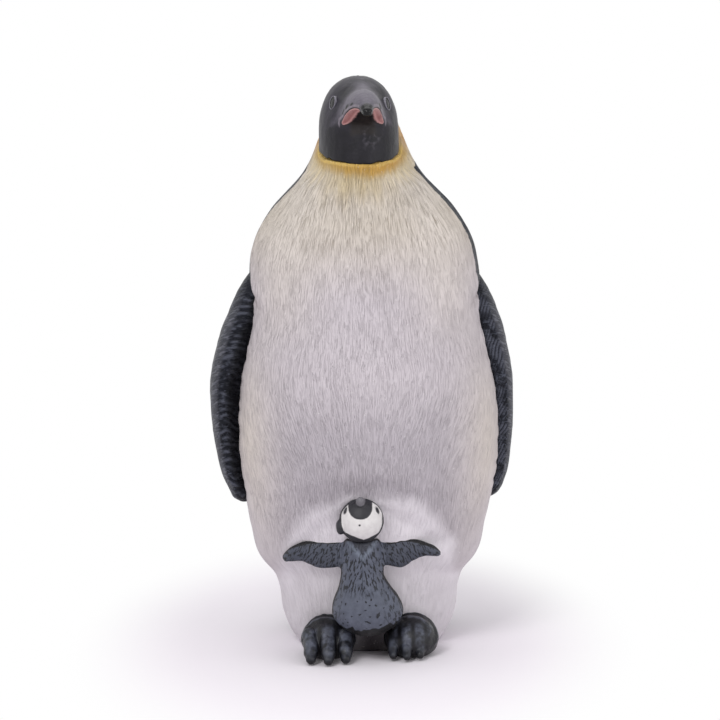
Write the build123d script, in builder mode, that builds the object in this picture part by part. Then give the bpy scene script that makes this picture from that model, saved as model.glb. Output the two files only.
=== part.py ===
"""Emperor penguin figurine with its chick: a hollow torso moulded in two halves, with a head, flippers,
feet and a two-piece chick that plug into it. The figure faces -Y and stands on z = 0; lengths in mm."""

from build123d import *

import os
from math import asin, cos, degrees, hypot, radians, sin, sqrt

os.makedirs("parts", exist_ok=True)

# Clearances
glue_gap = 0.1
plug_clearance = 0.08
overrun = 6.0

# Torso, measured from its upright axis
torso_height = 86.0
belly_half_width = 20.5
belly_reach = 20.2
back_reach = 17.4
shell_wall = 3.0
mantle_step = 0.3

# Skirt of leg feathers that stands on the floor, behind the chick
skirt_height = 25.0
skirt_half_width = 18.2
skirt_front_reach = 16.0
skirt_back_reach = 15.4

# Brood fold: the rolled lower edge of the belly that arches over the chick
fold_crown_height = 25.6
fold_rise = 14.3
fold_roll_radius = 2.1
fold_sink = 1.2

# Tail, a wedge that reaches the floor behind the torso
tail_length = 13.5
tail_half_width = 6.4
tail_thickness = 8.0
tail_root_depth = 6.9
tail_root_height = 6.0

# Neck joint: a leaning plane, low at the throat and high at the nape
nape_rise = 5.4
neck_lean = 25.0
neck_plug_radius = 4.0
neck_plug_length = 8.0

# Head, turned a little towards the figure's own left
head_base_drop = 6.6
head_height = 16.0
head_half_width = 6.25
head_front_reach = 8.5
head_back_reach = 7.9
head_turn = 5.0
eye_half_width = 0.65
eye_half_height = 1.0
eye_stand_out = 0.35
eye_rise = 12.0
eye_bearing = 42.0

# Bill, in two halves that meet along the gape
bill_length = 13.4
bill_start = 3.0
bill_half_width = 3.9
bill_depth = 3.2
mandible_depth = 2.5
bill_rise = 11.6
gape_drop = 1.3
tip_lift = 0.5

# Flippers, which hang along the sides
shoulder_drop = 25.0
flipper_length = 38.6
flipper_front_reach = 5.2
flipper_back_reach = 7.2
flipper_half_thickness = 3.0
flipper_setback = 1.0
left_flipper_stand_out = 3.1
right_flipper_stand_out = 4.7
flipper_plug_radius = 1.8
flipper_plug_setback = 4.0
flipper_plug_drop = 8.0

# Feet: a domed instep with three toes that droop to the floor
foot_spacing = 6.5
foot_start = 6.5
foot_length = 11.2
foot_half_width = 4.3
foot_height = 6.4
toe_start = 12.6
toe_length = 8.3
toe_spacing = 2.3
toe_radius = 1.45
toe_knuckle_height = 4.1
toe_fan = 7.0
foot_plug_radius = 1.6
foot_plug_height = 2.3

# Chick, which stands on the feet in front of the skirt
chick_offset = -1.0
chick_stand_off = 2.5
chick_sink = 2.2
chick_height = 15.2
chick_half_width = 5.8
chick_front_reach = 4.8
chick_back_reach = 4.6
chick_wing_span = 12.4
chick_wing_start = 1.8
chick_wing_height = 16.6
chick_wing_half_height = 2.1
chick_wing_half_thickness = 1.0
chick_plug_radius = 1.5
chick_plug_rise = 4.8

# Chick's head, tipped back so that the bill points up
chick_head_radius = 3.3
chick_head_forward = 3.5
chick_head_rise = 2.8
chick_head_tilt = 55.0
chick_bill_length = 2.2
chick_bill_radius = 1.2
chick_neck_plug_radius = 1.1
chick_neck_forward = 2.2

# Plugs into the shells, and the pins that line the two shells up
shell_plug_length = 2.2
plug_root = 1.2
pin_radius = 0.8
pin_length = 2.4

# Heights that follow from the sizes above
neck_height = torso_height - nape_rise
head_base_height = neck_height - head_base_drop
eye_height = head_base_height + eye_rise
bill_height = head_base_height + bill_rise
flipper_top_height = torso_height - shoulder_drop
flipper_plug_height = flipper_top_height - flipper_plug_drop
chick_base_height = foot_height - chick_sink
chick_neck_height = chick_base_height + chick_height
chick_plug_height = chick_base_height + chick_plug_rise

# Share of a plug's radius that its flat takes off
key_share = 0.2

# Rows of (height, half width, front reach, back reach) up the torso
torso_shares = [
    (0.093, 0.520, 0.347, 0.575),
    (0.158, 0.828, 0.738, 0.874),
    (0.222, 0.910, 0.861, 0.943),
    (0.287, 0.949, 0.936, 0.983),
    (0.352, 0.988, 0.985, 0.997),
    (0.417, 1.000, 1.000, 1.000),
    (0.481, 0.983, 0.985, 1.000),
    (0.547, 0.927, 0.936, 0.983),
    (0.612, 0.871, 0.871, 0.954),
    (0.676, 0.880, 0.812, 0.914),
    (0.741, 0.846, 0.733, 0.839),
    (0.806, 0.700, 0.614, 0.707),
    (0.871, 0.449, 0.475, 0.563),
    (0.935, 0.320, 0.418, 0.471),
    (1.000, 0.268, 0.376, 0.402),
]

# Rows of (height, half width, front reach, back reach) up the skirt
skirt_shares = [
    (0.000, 0.625, 0.594, 0.844),
    (0.096, 0.705, 0.688, 0.909),
    (0.220, 0.761, 0.756, 0.942),
    (0.360, 0.784, 0.806, 0.961),
    (0.480, 0.835, 0.850, 0.961),
    (0.600, 0.898, 0.900, 0.974),
    (0.760, 0.955, 0.950, 0.987),
    (1.000, 1.000, 1.000, 1.000),
]

# Half width of the brood fold's arch, as a share of the belly's
fold_half_width_share = 0.625

# Rows of (bearing from the crown in quarter turns, roll radius) along one half of the brood fold
fold_shares = [
    (0.00, 1.00),
    (0.20, 1.00),
    (0.40, 0.98),
    (0.60, 0.90),
    (0.78, 0.74),
    (0.94, 0.45),
]

# Heights of the hollow's sections, as shares of the skirt and then of the torso
skirt_hollow_shares = [0.41, 0.70, 1.00]
torso_hollow_shares = [0.384, 0.477, 0.570, 0.663, 0.756]

# Heights of the pins between the shells, as shares of the torso
pin_height_shares = [0.27, 0.735]

# Rows of (length, half width, thickness above, thickness below, height) along the tail
tail_shares = [
    (0.00, 1.00, 1.00, 1.00, 1.00),
    (0.33, 0.97, 0.84, 0.84, 0.72),
    (0.66, 0.82, 0.52, 0.56, 0.38),
    (0.90, 0.56, 0.26, 0.28, 0.15),
    (1.00, 0.22, 0.10, 0.12, 0.07),
]

# Rows of (height, half width, front reach, back reach) up the head to its crown
head_shares = [
    (0.000, 1.376, 1.047, 1.190),
    (0.188, 1.216, 1.012, 1.127),
    (0.375, 1.072, 1.000, 1.038),
    (0.531, 1.000, 1.000, 0.975),
    (0.656, 0.944, 0.965, 0.911),
    (0.763, 0.848, 0.871, 0.835),
    (0.856, 0.712, 0.729, 0.709),
    (0.938, 0.496, 0.494, 0.494),
    (0.981, 0.272, 0.271, 0.266),
    (1.000, 0.080, 0.080, 0.080),
]

# Rows of (length, half width, reach above, reach below, lift) along the upper and lower bill
bill_shares = [
    (0.00, 0.92, 1.00, 0.38, 0.00),
    (0.25, 0.92, 0.92, 0.36, 0.10),
    (0.50, 0.66, 0.62, 0.30, 0.40),
    (0.75, 0.38, 0.36, 0.25, 0.95),
    (1.00, 0.15, 0.14, 0.19, 0.80),
]
mandible_shares = [
    (0.00, 0.92, 0.36, 0.96, 0.00),
    (0.29, 0.84, 0.35, 0.86, 0.10),
    (0.58, 0.52, 0.28, 0.46, 1.00),
    (0.87, 0.20, 0.16, 0.18, 2.50),
]

# Rows of (stand-out, size) from an eye's root to its face
eye_shares = [
    (-2.00, 1.00),
    (-0.50, 1.00),
    (1.00, 0.62),
]

# Rows of (length, stand-out, front reach, back reach, half thickness) down a flipper
flipper_shares = [
    (0.00, 0.10, 0.34, 0.40, 0.60),
    (0.08, 0.32, 0.67, 0.70, 1.00),
    (0.20, 0.76, 0.92, 0.90, 1.22),
    (0.35, 0.97, 1.00, 1.00, 1.14),
    (0.52, 1.00, 0.96, 0.97, 1.00),
    (0.70, 0.86, 0.85, 0.86, 0.88),
    (0.85, 0.70, 0.66, 0.67, 0.72),
    (0.95, 0.50, 0.46, 0.46, 0.58),
    (1.00, 0.30, 0.17, 0.17, 0.30),
]

# Rows of (length, half width, height) along the instep, and of (length, radius, height) along a toe
instep_shares = [
    (0.00, 0.84, 0.88),
    (0.30, 0.98, 1.00),
    (0.60, 1.00, 0.92),
    (0.85, 0.90, 0.70),
    (1.00, 0.60, 0.38),
]
toe_shares = [
    (0.00, 0.96, 1.00),
    (0.35, 1.00, 0.80),
    (0.70, 0.88, 0.41),
    (0.86, 0.76, 0.27),
    (1.00, 0.44, 0.16),
]

# Rows of (height, half width, front reach) up the chick's body
chick_shares = [
    (0.000, 0.45, 0.42),
    (0.066, 0.79, 0.75),
    (0.224, 1.00, 1.00),
    (0.382, 0.84, 0.94),
    (0.553, 0.60, 0.84),
    (0.743, 0.62, 0.86),
    (0.908, 0.57, 0.86),
    (1.000, 0.45, 0.80),
]

# Rows of (span, half height, half thickness, lift, stand-off) along a chick's flipper
chick_wing_shares = [
    (0.00, 0.88, 1.00, 0.10, 0.50),
    (0.30, 0.98, 1.00, 0.08, 0.50),
    (0.60, 0.92, 0.90, 0.16, 0.90),
    (0.84, 0.58, 0.75, 0.06, 2.10),
    (1.00, 0.20, 0.50, -0.22, 3.20),
]


def between(table, share):
    """Values of a table at a share of its length, in proportion between the two rows around it."""
    for lower, upper in zip(table, table[1:]):
        if share <= upper[0]:
            break
    part_way = (share - lower[0]) / (upper[0] - lower[0])
    return [low + part_way * (high - low) for low, high in zip(lower[1:], upper[1:])]


def torso_at(height):
    """Half width, front reach and back reach of the torso at a height."""
    width_share, front_share, back_share = between(torso_shares, height / torso_height)
    return width_share * belly_half_width, front_share * belly_reach, back_share * back_reach


def skirt_at(height):
    """Half width, front reach and back reach of the skirt at a height."""
    width_share, front_share, back_share = between(skirt_shares, height / skirt_height)
    return width_share * skirt_half_width, front_share * skirt_front_reach, back_share * skirt_back_reach


def head_at(height):
    """Half width, front reach and back reach of the head at a height."""
    width_share, front_share, back_share = between(head_shares, (height - head_base_height) / head_height)
    return width_share * head_half_width, front_share * head_front_reach, back_share * head_back_reach


def front_surface(x, half_width, front):
    """Where an egg outline's front lies along Y, at a distance from its axis; 0 beside the outline."""
    return -front * sqrt(max(0, 1 - (x / half_width) ** 2))


def skirt_front(x, height):
    """Where the skirt's front lies along Y, at a distance from the axis and a height."""
    half_width, front, back = skirt_at(height)
    return front_surface(x, half_width, front)


def fold_point(bearing):
    """Centre of the brood fold's roll, just under the belly's front, at a bearing from its crown."""
    x = fold_half_width_share * belly_half_width * sin(radians(bearing))
    height = fold_crown_height - fold_rise * (1 - cos(radians(bearing)))
    half_width, front, back = torso_at(height)
    return Vector(x, front_surface(x, half_width, front) + fold_sink, height)


def egg_section(plane, half_width, front, back):
    """Outline of four quarter ellipses, widest on the plane's x axis, with its front towards -y."""
    with BuildSketch(plane) as section:
        with BuildLine():
            EllipticalCenterArc((0, 0), half_width, back, 0)
            EllipticalCenterArc((0, 0), half_width, back, 90)
            EllipticalCenterArc((0, 0), half_width, front, 180)
            EllipticalCenterArc((0, 0), half_width, front, 270)
        make_face()
    return section.sketch


def fold_section(bearing, radius_share, grow):
    """Round section across the brood fold's roll, square to the arch."""
    heading = fold_point(bearing + 1) - fold_point(bearing - 1)
    plane = Plane(origin=fold_point(bearing), x_dir=heading.cross(Vector(0, 1, 0)), z_dir=heading)
    radius = radius_share * fold_roll_radius + grow
    return egg_section(plane, radius, radius, radius)


def keyed_plug(seat, radius, depth, lead):
    """Round plug with one flat, from a lead in front of its seat to a depth along the seat's normal."""
    with BuildPart() as plug:
        with BuildSketch(seat.offset(-lead)):
            Circle(radius)
            with Locations((0, radius)):
                Rectangle(2 * radius, 2 * radius * key_share, mode=Mode.SUBTRACT)
        extrude(amount=lead + depth)
    return plug.part


def socket(seat, radius, depth):
    """Room for a keyed plug, open towards the outside of the seat."""
    return keyed_plug(seat, radius + plug_clearance, depth + plug_clearance, overrun)


# The neck's joint plane, the chick's distance from the axis, and the seat of the plug at its back
neck_seat = Plane(
    origin=(0, 0, neck_height),
    x_dir=(1, 0, 0),
    z_dir=(0, sin(radians(neck_lean)), -cos(radians(neck_lean))),
)
chick_reach = chick_stand_off - skirt_front(chick_offset, chick_plug_height)
chick_seat = Plane(
    origin=(chick_offset, skirt_front(chick_offset, chick_plug_height), chick_plug_height),
    x_dir=(1, 0, 0),
    z_dir=(0, 1, 0),
)


def foot_seat(side):
    """Seat of a foot's plug on the front of the skirt."""
    return Plane(
        origin=(side * foot_spacing, skirt_front(foot_spacing, foot_plug_height), foot_plug_height),
        x_dir=(1, 0, 0),
        z_dir=(0, 1, 0),
    )


def flipper_seat(side):
    """Seat of a flipper's plug on the side of the back shell."""
    half_width, front, back = torso_at(flipper_plug_height)
    seat_x = half_width * sqrt(1 - (flipper_plug_setback / back) ** 2) + mantle_step
    return Plane(
        origin=(side * seat_x, flipper_plug_setback, flipper_plug_height),
        x_dir=(0, 1, 0),
        z_dir=(-side, 0, 0),
    )


def torso_form(grow):
    """Outer form of the whole torso, grown all round: belly, arched opening, skirt and brood fold."""
    arch_half_width = fold_half_width_share * belly_half_width - grow
    arch_rise = fold_rise - grow
    arch_height = fold_crown_height - fold_rise
    with BuildPart() as form:
        # Belly and chest, up to the nape
        loft([
            egg_section(
                Plane.XY.offset(height * torso_height),
                width * belly_half_width + grow,
                front * belly_reach + grow,
                back * back_reach + grow,
            )
            for height, width, front, back in torso_shares
        ])
        # Arched opening under the belly, where the chick stands
        with BuildSketch(Plane.XZ):
            with BuildLine():
                EllipticalCenterArc((0, arch_height), arch_half_width, arch_rise, 0, arc_size=180)
                Polyline(
                    (-arch_half_width, arch_height),
                    (-arch_half_width, -overrun),
                    (arch_half_width, -overrun),
                    (arch_half_width, arch_height),
                )
            make_face()
        extrude(amount=belly_reach + overrun, mode=Mode.SUBTRACT)
        # Skirt of leg feathers behind the opening
        loft([
            egg_section(
                Plane.XY.offset(height * skirt_height),
                width * skirt_half_width + grow,
                front * skirt_front_reach + grow,
                back * skirt_back_reach + grow,
            )
            for height, width, front, back in skirt_shares
        ])
        # Brood fold round the opening's edge
        for side in (-1, 1):
            loft([fold_section(90 * side * share, radius, grow) for share, radius in fold_shares])
        # Neck joint
        split(bisect_by=neck_seat, keep=Keep.TOP)
    return form.part


def torso_hollow():
    """The space inside the torso's shells, a wall in from the skirt below and from the belly above."""
    with BuildPart() as hollow:
        floor_and_skirt = [shell_wall] + [share * skirt_height for share in skirt_hollow_shares]
        rows = [(height, skirt_at(height)) for height in floor_and_skirt]
        rows += [(share * torso_height, torso_at(share * torso_height)) for share in torso_hollow_shares]
        loft([
            egg_section(
                Plane.XY.offset(height),
                half_width - shell_wall,
                front - shell_wall,
                back - shell_wall,
            )
            for height, (half_width, front, back) in rows
        ])
    return hollow.part


def pins(radius, length):
    """Round pins on the seam between the shells, in the middle of the wall, pointing forward."""
    places = []
    for share in pin_height_shares:
        height = share * torso_height
        pin_x = torso_at(height)[0] - shell_wall / 2
        places += [(pin_x, height), (-pin_x, height)]
    with BuildPart() as pin_set:
        with BuildSketch(Plane.XZ.offset(-pin_length)):
            with Locations(*places):
                Circle(radius)
        extrude(amount=pin_length + length)
    return pin_set.part


def foot_form(side, grow):
    """Instep and three toes of one foot, grown all round, before it is fitted to the skirt."""
    with BuildPart() as form:
        # Domed instep
        loft([
            egg_section(
                Plane(
                    origin=(side * foot_spacing, -foot_start - share * foot_length, 0),
                    x_dir=(1, 0, 0),
                    z_dir=(0, -1, 0),
                ),
                width * foot_half_width + grow,
                foot_half_width / 2,
                height * foot_height + grow,
            )
            for share, width, height in instep_shares
        ])
        # Toes, which fan out and taper to a claw
        for step in (-1, 0, 1):
            heading = radians(step * toe_fan)
            loft([
                egg_section(
                    Plane(
                        origin=(
                            side * foot_spacing + step * toe_spacing + share * toe_length * sin(heading),
                            -toe_start - share * toe_length * cos(heading),
                            height * toe_knuckle_height,
                        ),
                        x_dir=(cos(heading), sin(heading), 0),
                        z_dir=(sin(heading), -cos(heading), 0),
                    ),
                    radius * toe_radius + grow,
                    radius * toe_radius + grow,
                    radius * toe_radius + grow,
                )
                for share, radius, height in toe_shares
            ])
        # Flat sole
        split(bisect_by=Plane.XY, keep=Keep.TOP)
    return form.part


belly_outer = torso_form(0)
back_outer = torso_form(mantle_step)
front_seat_form = torso_form(glue_gap)
side_seat_form = torso_form(mantle_step + glue_gap)
hollow = torso_hollow()

# White front half of the torso
with BuildPart() as belly_shell:
    add(belly_outer)
    split(bisect_by=Plane.XZ, keep=Keep.TOP)
    add(hollow, mode=Mode.SUBTRACT)
    add(socket(neck_seat, neck_plug_radius, neck_plug_length), mode=Mode.SUBTRACT)
    add(socket(chick_seat, chick_plug_radius, shell_plug_length), mode=Mode.SUBTRACT)
    for side in (-1, 1):
        add(socket(foot_seat(side), foot_plug_radius, shell_plug_length), mode=Mode.SUBTRACT)
    add(pins(pin_radius + plug_clearance, pin_length + plug_clearance), mode=Mode.SUBTRACT)

# Dark rear half of the torso, with the nape and the tail
with BuildPart() as back_shell:
    add(back_outer)
    loft([
        egg_section(
            Plane(
                origin=(0, skirt_back_reach - tail_root_depth + share * tail_length, height * tail_root_height),
                x_dir=(-1, 0, 0),
                z_dir=(0, 1, 0),
            ),
            width * tail_half_width,
            below * tail_thickness / 2,
            above * tail_thickness / 2,
        )
        for share, width, above, below, height in tail_shares
    ])
    split(bisect_by=Plane.XY, keep=Keep.TOP)
    split(bisect_by=Plane.XZ, keep=Keep.BOTTOM)
    add(hollow, mode=Mode.SUBTRACT)
    add(socket(neck_seat, neck_plug_radius, neck_plug_length), mode=Mode.SUBTRACT)
    for side in (-1, 1):
        add(socket(flipper_seat(side), flipper_plug_radius, shell_plug_length), mode=Mode.SUBTRACT)
    add(pins(pin_radius, pin_length))

# Head with bill and eyes
head_turn_x = (cos(radians(head_turn)), sin(radians(head_turn)), 0)
head_forward = (sin(radians(head_turn)), -cos(radians(head_turn)), 0)


def head_level(height):
    """Level plane through the head, turned with it."""
    return Plane(origin=(0, 0, height), x_dir=head_turn_x, z_dir=(0, 0, 1))


def bill_section(table_row, half_width, above_size, below_size, height):
    """Section across the bill, at a share of its length."""
    share, width, above, below, lift = table_row
    distance = bill_start + share * bill_length
    plane = Plane(
        origin=(distance * head_forward[0], distance * head_forward[1], height + lift * tip_lift),
        x_dir=head_turn_x,
        z_dir=head_forward,
    )
    return egg_section(plane, width * half_width, below * below_size, above * above_size)


def eye_section(side, out, size):
    """Upright oval across one eye, at a distance out from the skull's side."""
    bearing = radians(side * eye_bearing + head_turn)
    half_width, front, back = head_at(eye_height)
    reach = out + 1 / hypot(sin(radians(eye_bearing)) / half_width, cos(radians(eye_bearing)) / front)
    plane = Plane(
        origin=(reach * sin(bearing), -reach * cos(bearing), eye_height),
        x_dir=(cos(bearing), sin(bearing), 0),
        z_dir=(sin(bearing), -cos(bearing), 0),
    )
    return egg_section(plane, size * eye_half_width, size * eye_half_height, size * eye_half_height)


with BuildPart() as head:
    # Skull and throat, up to the crown
    loft([
        egg_section(
            head_level(head_base_height + height * head_height),
            width * head_half_width,
            front * head_front_reach,
            back * head_back_reach,
        )
        for height, width, front, back in head_shares
    ])
    # Upper bill, then the mandible under it
    loft([bill_section(row, bill_half_width, bill_depth, bill_depth, bill_height) for row in bill_shares])
    loft([
        bill_section(row, bill_half_width, mandible_depth, mandible_depth, bill_height - gape_drop)
        for row in mandible_shares
    ])
    # Eyes
    for side in (-1, 1):
        loft([eye_section(side, out * eye_stand_out, size) for out, size in eye_shares])
    # Neck joint and plug
    split(bisect_by=neck_seat.offset(-glue_gap), keep=Keep.BOTTOM)
    add(keyed_plug(neck_seat, neck_plug_radius, neck_plug_length, plug_root))


def flipper(side, stand_out):
    """One flipper, fitted to the torso's side, with the plug that holds it."""
    with BuildPart() as form:
        sections = []
        for share, out, front, back, thickness in flipper_shares:
            height = flipper_top_height - share * flipper_length
            centre = torso_at(height)[0] + out * stand_out - thickness * flipper_half_thickness
            sections.append(
                egg_section(
                    Plane.XY.offset(height).move(Location((side * centre, flipper_setback, 0))),
                    thickness * flipper_half_thickness,
                    front * flipper_front_reach,
                    back * flipper_back_reach,
                )
            )
        loft(sections)
        add(side_seat_form, mode=Mode.SUBTRACT)
        add(keyed_plug(flipper_seat(side), flipper_plug_radius, shell_plug_length, plug_root))
    return form.part


with BuildPart() as left_flipper:
    add(flipper(1, left_flipper_stand_out))

with BuildPart() as right_flipper:
    add(flipper(-1, right_flipper_stand_out))


def foot(side):
    """One foot, fitted to the front of the skirt, with the plug that holds it."""
    with BuildPart() as form:
        add(foot_form(side, 0))
        add(front_seat_form, mode=Mode.SUBTRACT)
        add(keyed_plug(foot_seat(side), foot_plug_radius, shell_plug_length, plug_root))
    return form.part


with BuildPart() as left_foot:
    add(foot(1))

with BuildPart() as right_foot:
    add(foot(-1))

# Chick's head seat, level on top of its body
chick_neck_seat = Plane(
    origin=(chick_offset, -chick_reach - chick_neck_forward, chick_neck_height),
    x_dir=(1, 0, 0),
    z_dir=(0, 0, -1),
)
chick_neck_plug_length = chick_neck_plug_radius + plug_root

# Chick's body with its spread flippers
with BuildPart() as chick_body:
    loft([
        egg_section(
            Plane(
                origin=(chick_offset, -chick_reach, chick_base_height + height * chick_height),
                x_dir=(1, 0, 0),
                z_dir=(0, 0, 1),
            ),
            width * chick_half_width,
            front * chick_front_reach,
            chick_back_reach,
        )
        for height, width, front in chick_shares
    ])
    for side in (-1, 1):
        wing_sections = []
        for share, half_height, thickness, lift, stand_off in chick_wing_shares:
            wing_x = chick_offset + side * (chick_wing_start + share * (chick_wing_span - chick_wing_start))
            wing_height = chick_wing_height + lift * chick_wing_half_height
            wing_y = skirt_front(wing_x, chick_wing_height) - stand_off * chick_wing_half_thickness
            wing_sections.append(
                egg_section(
                    Plane(origin=(wing_x, wing_y, wing_height), x_dir=(0, 0, 1), z_dir=(side, 0, 0)),
                    half_height * chick_wing_half_height,
                    thickness * chick_wing_half_thickness,
                    thickness * chick_wing_half_thickness,
                )
            )
        loft(wing_sections)
    add(front_seat_form, mode=Mode.SUBTRACT)
    for side in (-1, 1):
        add(foot_form(side, glue_gap), mode=Mode.SUBTRACT)
    add(socket(chick_neck_seat, chick_neck_plug_radius, chick_neck_plug_length), mode=Mode.SUBTRACT)
    add(keyed_plug(chick_seat, chick_plug_radius, shell_plug_length, plug_root))

# Chick's head, round with a short bill on its own axis
with BuildPart() as chick_head:
    bill_meet_angle = degrees(asin(chick_bill_radius / chick_head_radius))
    bill_meet = chick_head_radius * cos(radians(bill_meet_angle))
    head_axis_plane = Plane(
        origin=(chick_offset, -chick_reach - chick_head_forward, chick_neck_height + chick_head_rise),
        x_dir=(0, -cos(radians(chick_head_tilt)), sin(radians(chick_head_tilt))),
        z_dir=(1, 0, 0),
    )
    with BuildSketch(head_axis_plane):
        with BuildLine():
            CenterArc((0, 0), chick_head_radius, 180, bill_meet_angle - 180)
            Line((bill_meet, chick_bill_radius), (bill_meet + chick_bill_length, 0))
            Line((bill_meet + chick_bill_length, 0), (-chick_head_radius, 0))
        make_face()
    revolve(axis=Axis(head_axis_plane.origin, head_axis_plane.x_dir))
    add(front_seat_form, mode=Mode.SUBTRACT)
    split(bisect_by=chick_neck_seat.offset(-glue_gap), keep=Keep.BOTTOM)
    add(keyed_plug(chick_neck_seat, chick_neck_plug_radius, chick_neck_plug_length, plug_root))

pieces = {
    "belly_shell": belly_shell,
    "back_shell": back_shell,
    "head": head,
    "left_flipper": left_flipper,
    "right_flipper": right_flipper,
    "left_foot": left_foot,
    "right_foot": right_foot,
    "chick_body": chick_body,
    "chick_head": chick_head,
}
for name, piece in pieces.items():
    piece.part.label = name
    export_step(piece.part, f"parts/{name}.step")
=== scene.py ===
from itertools import product

import bmesh
import bpy
import numpy as np
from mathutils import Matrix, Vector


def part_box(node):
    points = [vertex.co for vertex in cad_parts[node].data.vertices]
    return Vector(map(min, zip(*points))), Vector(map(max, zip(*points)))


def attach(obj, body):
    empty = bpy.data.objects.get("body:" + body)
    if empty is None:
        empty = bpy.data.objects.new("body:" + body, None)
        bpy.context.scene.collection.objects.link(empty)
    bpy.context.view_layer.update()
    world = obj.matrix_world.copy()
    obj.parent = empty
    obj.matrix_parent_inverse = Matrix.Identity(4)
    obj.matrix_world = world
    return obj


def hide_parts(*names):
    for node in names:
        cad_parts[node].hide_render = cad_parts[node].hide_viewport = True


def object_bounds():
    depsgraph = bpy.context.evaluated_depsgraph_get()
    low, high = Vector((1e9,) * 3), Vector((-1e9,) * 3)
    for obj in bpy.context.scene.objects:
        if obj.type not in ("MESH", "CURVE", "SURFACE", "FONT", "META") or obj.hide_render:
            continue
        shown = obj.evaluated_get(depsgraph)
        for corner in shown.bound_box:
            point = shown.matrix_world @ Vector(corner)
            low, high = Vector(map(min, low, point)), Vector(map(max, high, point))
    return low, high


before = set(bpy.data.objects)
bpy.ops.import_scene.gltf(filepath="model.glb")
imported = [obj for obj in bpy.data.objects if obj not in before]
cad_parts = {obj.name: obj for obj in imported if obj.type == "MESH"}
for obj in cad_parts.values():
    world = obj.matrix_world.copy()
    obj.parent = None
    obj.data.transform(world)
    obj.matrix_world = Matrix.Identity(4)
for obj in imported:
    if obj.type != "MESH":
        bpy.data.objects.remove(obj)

import openvdb
from mathutils import Matrix, Vector

# A hand-painted penguin figurine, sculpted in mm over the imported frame
# Bearings are in degrees from the front, which is -Y, towards the penguin's own left, which is +X
# A side is 1 for the penguin's own left and -1 for its own right
MM = 0.001
cad_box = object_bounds()
box_low, box_high = (np.array(corner) / MM for corner in cad_box)


def node_box(name):
    """Lowest and highest corner of a CAD node, in mm."""
    low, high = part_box(name)
    return np.array(low) / MM, np.array(high) / MM


belly_low, belly_high = node_box("belly_shell")
back_high = node_box("back_shell")[1]
head_low, head_high = node_box("head")
foot_low, foot_high = node_box("left_foot")
chick_low, chick_high = node_box("chick_body")
face_low, face_high = node_box("chick_head")

# Torso, skirt and brood fold
crown_rise = 4.0
torso_height = head_high[2] - crown_rise
belly_half_width = belly_high[0]
belly_reach = -belly_low[1]
back_reach = 17.4
collar_height = 76.6
nape_height = back_high[2]
neck_set_back = 2.2
skirt_height = 25.0
skirt_half_width = 18.2
skirt_front_reach = 16.0
skirt_back_reach = 15.4
skirt_fillet = 0.9
fold_crown_height = 25.4
fold_rise = 14.3
fold_half_width = 12.9
fold_squareness = 2.5
fold_roll = 0.3
fold_roll_width = 1.5
fold_groove = 0.25
fold_groove_place = 2.4
fold_edge = 2.8
fold_depth = 1.1
fold_unevenness = 0.7
fold_lump = 2.6

# Relief on the torso
left_fullness = 0.6
right_slimness = 0.25
crease_height = 57.0
crease_slope = 0.12
crease_width = 0.9
crease_depth = 0.55
side_jag = 0.16
rim_fray = 0.16
rim_stand_out = 0.12
nape_tuck = 0.5
belly_gather = 0.3
stroke_shift = 1.6
tuft_height = 0.05
fine_tuft_height = 0.04

# Head, turned a little to the penguin's left, and its painted chin line
head_turn = 5.0
head_offset = -0.4
head_height = 16.0
head_base_height = head_high[2] - head_height
head_half_width = 6.25
head_front_reach = 8.5
head_back_reach = 7.9
chin_height = 76.55
chin_reach = 9.05
chin_tilt = 0.15
chin_lift = 0.2
chin_fray = 0.14

# Rows of (height, half width, front reach, back reach) up the torso
TORSO_SHARES = [
    (0.093, 0.520, 0.347, 0.575),
    (0.158, 0.828, 0.738, 0.874),
    (0.222, 0.910, 0.861, 0.943),
    (0.287, 0.949, 0.936, 0.983),
    (0.352, 0.988, 0.985, 0.997),
    (0.417, 1.000, 1.000, 1.000),
    (0.481, 0.983, 0.985, 1.000),
    (0.547, 0.927, 0.936, 0.983),
    (0.612, 0.871, 0.871, 0.954),
    (0.676, 0.880, 0.812, 0.914),
    (0.741, 0.846, 0.733, 0.839),
    (0.806, 0.700, 0.614, 0.707),
    (0.871, 0.449, 0.470, 0.563),
    (0.935, 0.322, 0.375, 0.475),
    (1.000, 0.260, 0.320, 0.400),
]

# Rows of (height, half width, front reach, back reach) up the skirt
SKIRT_SHARES = [
    (0.000, 0.625, 0.594, 0.844),
    (0.096, 0.705, 0.688, 0.909),
    (0.220, 0.761, 0.756, 0.942),
    (0.360, 0.784, 0.806, 0.961),
    (0.480, 0.835, 0.850, 0.961),
    (0.600, 0.898, 0.900, 0.974),
    (0.760, 0.955, 0.950, 0.987),
    (1.000, 1.000, 1.000, 1.000),
]

# Finish of each material: bump depth in mm, specular level, lowest and highest roughness
FINISHES = {
    "torso_paint": (0.06, 0.16, 0.5, 0.72),
    "head_paint": (0.05, 0.26, 0.36, 0.52),
    "eye_paint": (0.02, 0.5, 0.08, 0.45),
    "flipper_paint": (0.12, 0.12, 0.34, 0.52),
    "foot_paint": (0.08, 0.3, 0.28, 0.5),
    "chick_paint": (0.14, 0.4, 0.45, 0.65),
    "chick_face_paint": (0.05, 0.4, 0.42, 0.62),
    "floor_paint": (0.01, 0.1, 0.9, 0.9),
}

# Strokes: width and length in mm, and the noise values at which they start and are full
HAIR_STROKES = (0.14, 3.0, 0.55, 0.64)
FINE_STROKES = (0.1, 1.5, 0.53, 0.66)
PALE_STROKES = (0.2, 1.6, 0.6, 0.72)
WORN_STROKES = (0.4, 2.2, 0.5, 0.68)
SCALE_STROKES = (0.42, 1.9, 0.48, 0.62)
BARB_STROKES = (0.28, 1.0, 0.5, 0.64)
DOWN_STROKES = (0.28, 1.05, 0.52, 0.6)

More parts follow.
